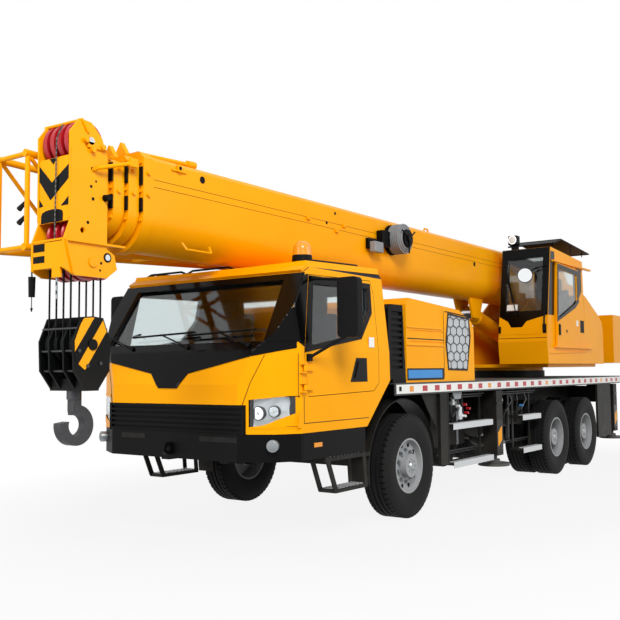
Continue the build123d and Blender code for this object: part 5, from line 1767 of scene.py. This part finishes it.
lined = 0
for test, names in ((in_driver_cab, ("cab_shell", "cab_nose", "cab_door_left", "cab_door_right")),
                    (in_operator_cab, ("operator_cab",)),
                    (behind_leaf, ("operator_door",))):
    for name in names:
        data = nodes[name].data
        data.materials.append(finish["felt"])
        for polygon in data.polygons:
            middle = polygon.center - origin
            if test(middle.x, middle.y, middle.z):
                polygon.material_index = 1
                lined += 1
print("lined faces", lined)

# %% [markdown]
# A raised skin covers the roof, a little lower in the middle, where the boom rests above it. It
# is three shallow boxes with a sloping front, welded at the seams by merging their doubles.

# %% Roof fairing
mesh = bmesh.new()
for y0, y1, rise0, rise1 in ((-1.135, -0.420, 0.062, 0.052), (-0.420, 0.420, 0.052, 0.052),
                             (0.420, 1.135, 0.052, 0.062)):
    add_plate(mesh, [at(1.752, y0, 2.440), at(1.752, y1, 2.440), at(1.672, y1, 2.489),
                     at(1.672, y0, 2.489)], (0.03, 0, 0.018))
    corners = ((1.700, y0, rise0), (1.700, y1, rise1), (0.440, y1, rise1), (0.440, y0, rise0))
    roof_z = {1.700: 2.489, 0.440: 2.528}
    low = [mesh.verts.new(at(s, y, roof_z[s])) for s, y, _ in corners]
    high = [mesh.verts.new(at(s - 0.012, y * 0.985, roof_z[s] + rise)) for s, y, rise in corners]
    mesh.faces.new(low)
    mesh.faces.new(high)
    for k in range(4):
        mesh.faces.new((low[k], low[(k + 1) % 4], high[(k + 1) % 4], high[k]))
bmesh.ops.remove_doubles(mesh, verts=mesh.verts[:], dist=0.0002)
hang(mesh, "roof_fairing", "yellow", "carrier")
print("fairing fitted")

# %% [markdown]
# The headlamp's opening has a curved lower edge and a rising upper one, while the solid behind
# it is cut square. Yellow sheets on the skin cover the difference above and below the lamp.

# %% Headlamp surrounds
columns = (0.885, 0.94, 1.00, 1.05, 1.09, 1.13, 1.17, 1.215)
low_edge = (1.062, 1.070, 1.080, 1.098, 1.118, 1.142, 1.165, 1.190)
high_edge = (1.298, 1.303, 1.308, 1.313, 1.318, 1.322, 1.326, 1.330)
foot_line, head_line = [1.050] * len(columns), [1.336] * len(columns)
for side, name in sides:
    mesh = bmesh.new()
    for low, high, rows in ((foot_line, low_edge, 3), (high_edge, head_line, 2)):
        edges = ([(side * y, z) for y, z in zip(columns, line)] for line in (low, high))
        add_sheet(mesh, on_nose, *edges, 0.0045, (0.0015, 0, 0), rows)
    corner = ((1.905, 1.050), (1.905, 1.190), (1.940, 1.180), (1.960, 1.050))
    add_plate(mesh, on_side(side * cab_side, corner), outwards(side, 0.0015))
    hang(mesh, f"headlamp_surround_{name}", "yellow", "carrier")
print("surround columns", len(columns))

# %% [markdown]
# ## Rear end
# The back carries the lamps that such a vehicle needs: a red, amber and white cluster on each
# side, a blank plate between them, and a row of reflectors. All are small blocks.

# %% Rear lamps, plate and reflectors
back = -7.730
for side, name in sides:
    mesh = bmesh.new()
    add_block(mesh, at(back + 0.02, side * 0.62, 1.13), at(back - 0.018, side * 1.00, 1.285), 0.008)
    hang(mesh, f"rear_cluster_{name}", "plastic", "carrier")
    for key, low, high in (("red_lens", 0.64, 0.75), ("amber", 0.76, 0.87), ("white", 0.88, 0.98)):
        mesh = bmesh.new()
        add_block(mesh, at(back - 0.016, side * low, 1.155), at(back - 0.026, side * high, 1.245),
                  0.004)
        hang(mesh, f"rear_{key}_{name}", key, "carrier")
mesh = bmesh.new()
add_block(mesh, at(back + 0.001, -0.26, 1.30), at(back - 0.006, 0.26, 1.39))
hang(mesh, "rear_plate", "white", "carrier")
mesh = bmesh.new()
for y in [-1.10 + 0.2 * k for k in range(12)]:
    # the plate takes the middle
    if abs(y) > 0.3:
        add_block(mesh, at(back + 0.001, y - 0.04, 1.32), at(back - 0.004, y + 0.04, 1.37))
hang(mesh, "rear_reflectors", "red_lens", "carrier")
print("clusters", len(sides))
